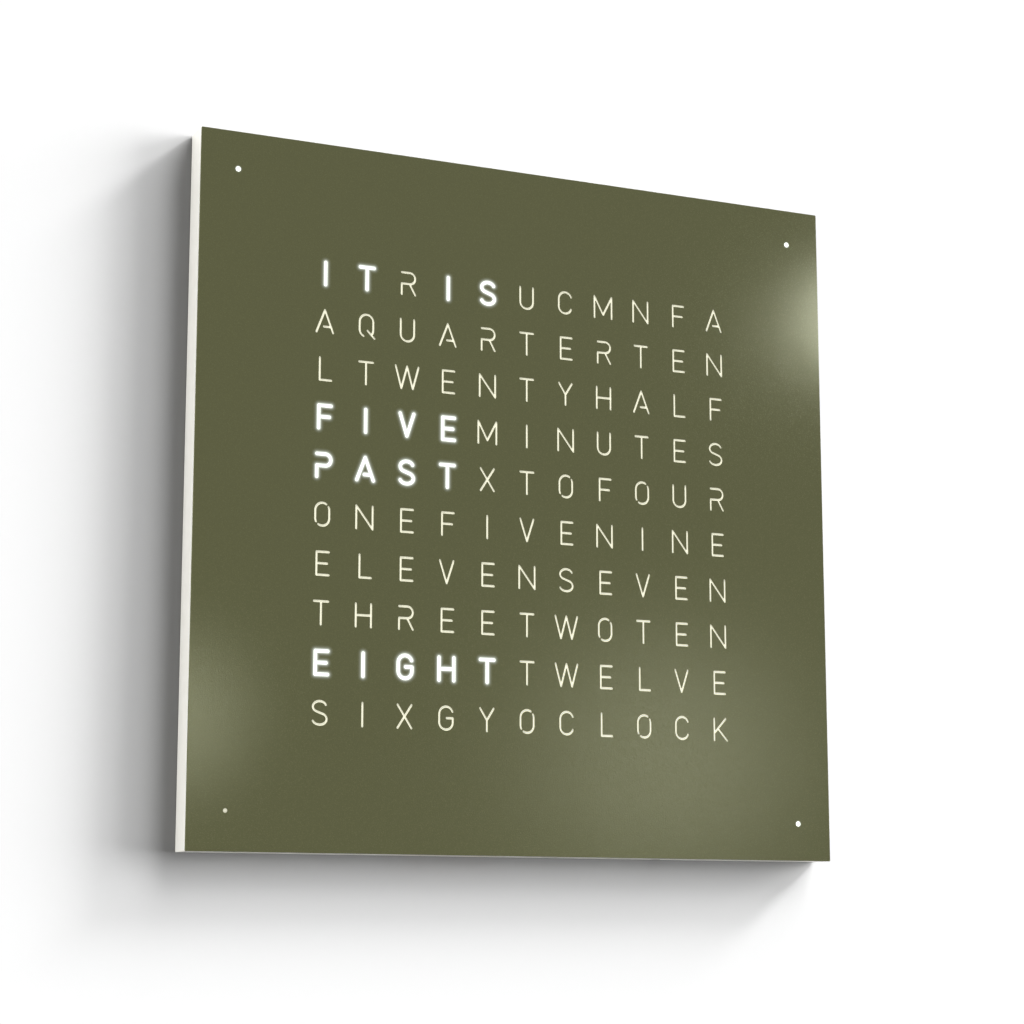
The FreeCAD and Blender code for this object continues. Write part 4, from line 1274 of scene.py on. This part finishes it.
@dataclass
class Casing(Assembly):
    """The routed casing with what is fixed to its rim and back."""

    countersunk: Screw = Screw(Head.COUNTERSUNK)
    pads: FeltPads = FeltPads()

    FINISHES = {
        WHITE_LACQUER: ("casing",),
        NICKEL: ("cover_magnets",),
        WHITE_COAT: ("rear_cover",),
        ZINC_PLATE: ("hanger_plates",),
    }

    def build(self) -> None:
        """Drives the screws into the back and glues on the pads."""
        self.countersunk.build("rear_cover_screws", "rear_screws", facing=1)
        self.countersunk.build("hanger_screws", "hanger_fixings", facing=1)
        self.pads.build()


@dataclass
class LightBox(Assembly):
    """The lamps, the grid that keeps each letter's light apart, and the films."""

    letters: LetterField = LetterField()
    pan: Screw = Screw(Head.PAN)
    weave_mm: float = 4.4  # distance between the films' mesh points
    sheet_clip_mm: float = 4.0
    tile_clip_mm: float = 2.5
    patch_mm: float = 8.0  # distance from a lamp at which its patch has faded to a third
    cell_mm: Point = (13.3, 14.7)  # half the mouth of a cell of the grid
    patch: float = 1.5  # brightness over a lamp
    leak: float = 0.05  # brightness beside a lit cell

    FINISHES = {
        GRID_WHITE: ("light_grid", "light_cups"),
        BOARD_WHITE: ("led_board", "corner_boards"),
        PHOSPHOR: ("letter_leds", "corner_leds"),
        RIBBON: ("corner_leads",),
        NYLON_BLACK: ("led_board_header",),
    }

    def brightness(self, x: float, z: float, lamps: Sequence[Point]) -> float:
        """Gives how brightly the film shines at a point.

        Args:
            x: The point, in millimetres.
            z: The point, in millimetres.
            lamps: The lit lamps' places, in millimetres.

        Returns:
            The light of the lamp whose cell the point lies over, or the little that leaks out.
        """
        for lamp_x, lamp_z in lamps:
            if abs(x - lamp_x) < self.cell_mm[0] and abs(z - lamp_z) < self.cell_mm[1]:
                return self.patch * math.exp(-(math.dist((x, z), (lamp_x, lamp_z)) / self.patch_mm) ** 2)
        return self.leak

    def build_film(self, node: str, name: str, clip_mm: float, lamps: Sequence[Point]) -> None:
        """Lays a film with clipped corners on each solid of a node and replaces the node.

        Args:
            node: The CAD node.
            name: The new piece's name.
            clip_mm: Length cut off each corner.
            lamps: The lit lamps' places, in millimetres.
        """
        corners: list[Point] = []
        triangles: list[tuple[int, int, int]] = []
        for low, high in islands(node):
            middle, half = (low + high) / 2 / MM, (high - low) / 2 / MM
            columns, rows = math.ceil(2 * half.x / self.weave_mm), math.ceil(2 * half.z / self.weave_mm)
            first = len(corners)
            for row in range(rows + 1):
                for column in range(columns + 1):
                    x, z = half.x * (2 * column / columns - 1), half.z * (2 * row / rows - 1)
                    beyond = max(0.0, clip_mm - (half.x - abs(x)) - (half.z - abs(z))) / 2
                    x, z = x - math.copysign(beyond, x), z - math.copysign(beyond, z)
                    corners.append((middle.x + x, middle.z + z))
            for row in range(rows):
                for column in range(columns):
                    a = first + row * (columns + 1) + column
                    b, c, d = a + 1, a + columns + 2, a + columns + 1
                    rising = (2 * row < rows) == (2 * column < columns)
                    triangles += [(a, b, c), (a, c, d)] if rising else [(a, b, d), (b, c, d)]
        low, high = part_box(node)
        mesh = plate(corners, triangles, low.y, high.y)
        layer = mesh.verts.layers.float.new(GLOW)
        for vertex in mesh.verts:
            vertex[layer] = self.brightness(vertex.co.x / MM, vertex.co.z / MM, lamps)
        piece_from(mesh, name, FILM, "casing", [node])

    def build(self) -> None:
        """Lays the films over the lamps and drives the grid's screws."""
        letters = [middle for _, lit, middle in self.letters.cells() if lit]
        dots = [middle for middle, lit in Cover().dots() if lit]
        self.build_film("diffuser_sheet", "diffuser_film", self.sheet_clip_mm, letters)
        self.build_film("corner_diffusers", "corner_films", self.tile_clip_mm, dots)
        self.pan.build("grid_screws", "grid_fixings", facing=-1)


@dataclass
class Electronics(Assembly):
    """What lies in the bays: the control board with its parts, the inlet and the push buttons."""

    legs: tuple[tuple[str, int], ...] = (("controller_chip", 11), ("driver_chips", 6))  # per side of a chip
    leg_mm: tuple[Point, ...] = (  # distance from the chip, and the share of the way down to the board
        (0.0, 0.0),
        (0.35, 0.0),
        (0.6, 1.0),
        (1.05, 1.0),
    )
    leg_width_mm: float = 0.32
    strip_mm: float = 0.15

    FINISHES = {
        BOARD_GREEN: ("control_board",),
        EPOXY_BLACK: ("controller_chip", "driver_chips"),
        CAN_METAL: ("crystal", "capacitor"),
        NYLON_BLACK: ("cell_holder", "power_jack", "control_header", "switch_housings"),
        CELL_STEEL: ("coin_cell",),
        NYLON_NATURAL: ("board_spacers",),
        BRASS: ("jack_pin",),
        RIBBON: ("ribbon_cable",),
        ABS_WHITE: ("hour_button", "minute_button", "brightness_button", "mode_button"),
        ACETAL_BLACK: ("hour_plunger", "minute_plunger", "brightness_plunger", "mode_plunger"),
    }

    def bend_leg(self, mesh: Mesh, root: Vector, outwards: Vector, drop: float) -> None:
        """Bends one gull-wing leg.

        Args:
            mesh: Takes the leg.
            root: Where it leaves the chip's side.
            outwards: Unit vector away from the chip, along the board.
            drop: From the root down to the board, in metres.
        """
        across = Vector((outwards.z, 0, -outwards.x)) * self.leg_width_mm / 2 * MM
        thick = Vector((0, self.strip_mm * MM, 0))
        sections = []
        for out, down in self.leg_mm:
            spot = root + outwards * out * MM - Vector((0, down * (drop - self.strip_mm * MM), 0))
            corners = (spot - across, spot + across, spot + across + thick, spot - across + thick)
            sections.append([mesh.verts.new(corner) for corner in corners])
        for section, following in zip(sections, sections[1:]):
            for i in range(4):
                j = (i + 1) % 4
                mesh.faces.new([section[i], section[j], following[j], following[i]])
        mesh.faces.new(sections[0])
        mesh.faces.new(sections[-1])

    def build(self) -> None:
        """Bends the chips' legs down to the control board."""
        mesh = bmesh.new()
        turns = [Matrix.Rotation(quarter * math.pi / 2, 3, "Y") for quarter in range(4)]
        chips = [(low, high, count) for node, count in self.legs for low, high in islands(node)]
        for low, high, count in chips:
            half = (high - low) / 2
            for turn in turns:
                for place in range(count):
                    side = Vector((half.x, 0, (place + 1) * 2 * half.x / (count + 1) - half.x))
                    self.bend_leg(mesh, (low + high) / 2 + turn @ side, turn @ Vector((1, 0, 0)), half.y)
        piece_from(mesh, "chip_legs", TINNED, "casing")


# ---- Room, light and camera ----

@dataclass
class Room:
    """A white wall that the clock hangs on, and the daylight of a pale room. Sizes in metres."""

    reach: float = 6.0
    tuck: float = 0.0003  # the wall starts this far under the casing's edge, so that its back stays lit
    channel: Point = (0.098, 0.106)  # x of the lead's way out, which shows the wall behind
    channel_top: float = -0.207
    ambient: float = 0.42

    def build(self) -> None:
        """Builds the wall as a flat ring round the casing's back, with a tab behind the lead's way out."""
        edge, wall_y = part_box("casing")[1].x - self.tuck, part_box("wall_pads")[1].y
        mesh = bmesh.new()
        inner, outer = ([(x * half, z * half) for x, z in SQUARE] for half in (edge, self.reach))
        quads = [(inner[i], inner[i - 3], outer[i - 3], outer[i]) for i in range(4)]
        left, right = self.channel
        quads.append(((left, -edge), (right, -edge), (right, self.channel_top), (left, self.channel_top)))
        for quad in quads:
            face = mesh.faces.new([mesh.verts.new((x, wall_y, z)) for x, z in quad])
            face.normal_update()
            if face.normal.y > 0:
                face.normal_flip()
        self.wall = put_in_scene("wall", data_from(mesh, "wall"))
        self.wall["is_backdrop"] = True

    def dress(self) -> None:
        """Paints the wall and sets the daylight."""
        self.wall.data.materials.append(EMULSION.material())
        world = bpy.data.worlds.new("pale room")
        bpy.context.scene.world = world
        world.use_nodes = True
        tree = world.node_tree
        rays = add_node(tree, "LightPath").outputs
        shown = rays["Is Camera Ray"]
        for other in ("Is Glossy Ray", "Is Transmission Ray"):
            shown = add_node(tree, "Math", {"operation": "MAXIMUM", 0: shown, 1: rays[other]}).outputs[0]
        strength = add_node(tree, "MapRange", {"To Min": self.ambient, "To Max": 1.0, "Value": shown})
        tree.links.new(strength.outputs[0], tree.nodes["Background"].inputs["Strength"])
        tree.nodes["Background"].inputs["Color"].default_value = linear("#FFFFFF")


@dataclass(frozen=True)
class Lamp:
    """One lamp of the studio.

    Attributes:
        name: What it is.
        place: Where it stands, in metres.
        target: What it points at.
        power: Watts of an area lamp, or watts per square metre of a distant one.
        size: Side of an area lamp in metres, or 0 for a distant one.
        spread: Angle that a distant lamp fills in the sky, in degrees.
        on_wall: Whether it lights the wall alone, or else the clock alone.
    """

    name: str
    place: Place
    target: Place
    power: float
    size: float = 0.0
    spread: float = 0.0
    on_wall: bool = False

    def build(self, lit: bpy.types.Collection) -> None:
        """Adds the lamp.

        Args:
            lit: The only objects that it lights. Everything throws a shadow in its light.
        """
        data = bpy.data.lights.new(self.name, "AREA" if self.size else "SUN")
        data.energy = self.power
        if self.size:
            data.shape = "DISK"
            data.size = self.size
        else:
            data.angle = math.radians(self.spread)
        lamp = put_in_scene(self.name, data)
        lamp.location = self.place
        lamp.rotation_mode = "QUATERNION"
        lamp.rotation_quaternion = (Vector(self.target) - Vector(self.place)).to_track_quat("-Z", "Y")
        lamp.light_linking.receiver_collection = lit
        lamp.visible_camera = False
        lamp.visible_diffuse = not self.size


@dataclass
class Studio:
    """The lamps. Those on the wall draw its soft shadow, and the others light the clock."""

    face: Place = (0.0, -0.02, 0.0)

    def lamps(self) -> list[Lamp]:
        """Lists the lamps.

        Returns:
            Every lamp.
        """
        return [
            Lamp("key from above", (-0.2, -1.6, 2.4), self.face, 1.7, spread=30),
            Lamp("fill from the left", (-2.0, -0.3, 0.2), self.face, 2.85, spread=40),
            Lamp("fill from behind", (-1.4, 2.0, 1.2), self.face, 2.0, spread=50),
            Lamp("sheen at the right", (0.422, -0.265, 0.232), (0.25, -0.02, 0.15), 0.6, size=0.07),
            Lamp("sheen at the lower left", (-0.168, -0.26, -0.122), (-0.24, -0.02, -0.14), 0.175, size=0.1),
            Lamp("sheen at the lower right", (0.38, -0.54, -0.116), (0.1, -0.02, -0.17), 0.55, size=0.2),
            self.shadow_lamp("shadow below", turn=60, lean=63, spread=40, share=0.28),
            self.shadow_lamp("shadow to the left", turn=10, lean=72, spread=32, share=0.33),
            self.shadow_lamp("far end of the shadow", turn=40, lean=77, spread=12, share=0.2),
            self.shadow_lamp("shadow close to the clock", turn=20, lean=39, spread=40, share=0.1),
        ]

    def shadow_lamp(self, name: str, turn: float, lean: float, spread: float, share: float) -> Lamp:
        """Gives a distant lamp that lights the wall alone and draws one band of the clock's shadow.

        Args:
            name: What it draws.
            turn: Its direction round the wall's normal, in degrees from +X towards +Z.
            lean: Its direction off the wall's normal, in degrees.
            spread: Angle that it fills in the sky, in degrees.
            share: Its part of the wall's white.

        Returns:
            The lamp.
        """
        up, off = math.radians(turn), math.radians(lean)
        place = (math.sin(off) * math.cos(up), -math.cos(off), math.sin(off) * math.sin(up))
        power = share * math.pi / (linear(EMULSION.hue)[0] * math.cos(off))
        return Lamp(name, place, (0, 0, 0), power, spread=spread, on_wall=True)

    def build(self, wall: bpy.types.Object) -> None:
        """Adds the lamps and says what each one lights.

        Args:
            wall: The wall behind the clock.
        """
        on_wall, on_clock = (bpy.data.collections.new(name) for name in ("lit as wall", "lit as clock"))
        on_wall.objects.link(wall)
        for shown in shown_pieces():
            on_clock.objects.link(shown)
        for lamp in self.lamps():
            lamp.build(on_wall if lamp.on_wall else on_clock)


@dataclass(frozen=True)
class Viewpoint:
    """The camera, low and to the left of the clock."""

    from_face: Place = (-0.66263, -1.39939, -0.27772)
    heading: Place = (0.41583, 0.89258, 0.17429)
    lens_mm: float = 85.24
    sensor_mm: float = 36.0

    def build(self) -> None:
        """Adds the camera and makes it the scene's."""
        data = bpy.data.cameras.new("camera")
        data.lens = self.lens_mm
        data.sensor_width = self.sensor_mm
        camera = put_in_scene("camera", data)
        camera.location = Vector((0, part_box("front_cover")[0].y, 0)) + Vector(self.from_face)
        camera.rotation_mode = "QUATERNION"
        camera.rotation_quaternion = Vector(self.heading).to_track_quat("-Z", "Y")
        bpy.context.scene.camera = camera


def main() -> None:
    """Builds and dresses the clock, then sets up the room, the lamps and the camera."""
    logging.basicConfig(level=logging.INFO, format="%(message)s")
    bpy.context.scene.view_settings.view_transform = "Standard"
    Viewpoint().build()
    for assembly in (Cover(), Casing(), LightBox(), Electronics()):
        assembly.build()
        assembly.dress()
        LOG.info("%s built and dressed", type(assembly).__name__)
    room = Room()
    room.build()
    room.dress()
    Studio().build(room.wall)
    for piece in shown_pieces():
        LOG.info("%s: %d faces", piece.name, len(piece.data.polygons))


if __name__ == "__main__":
    main()
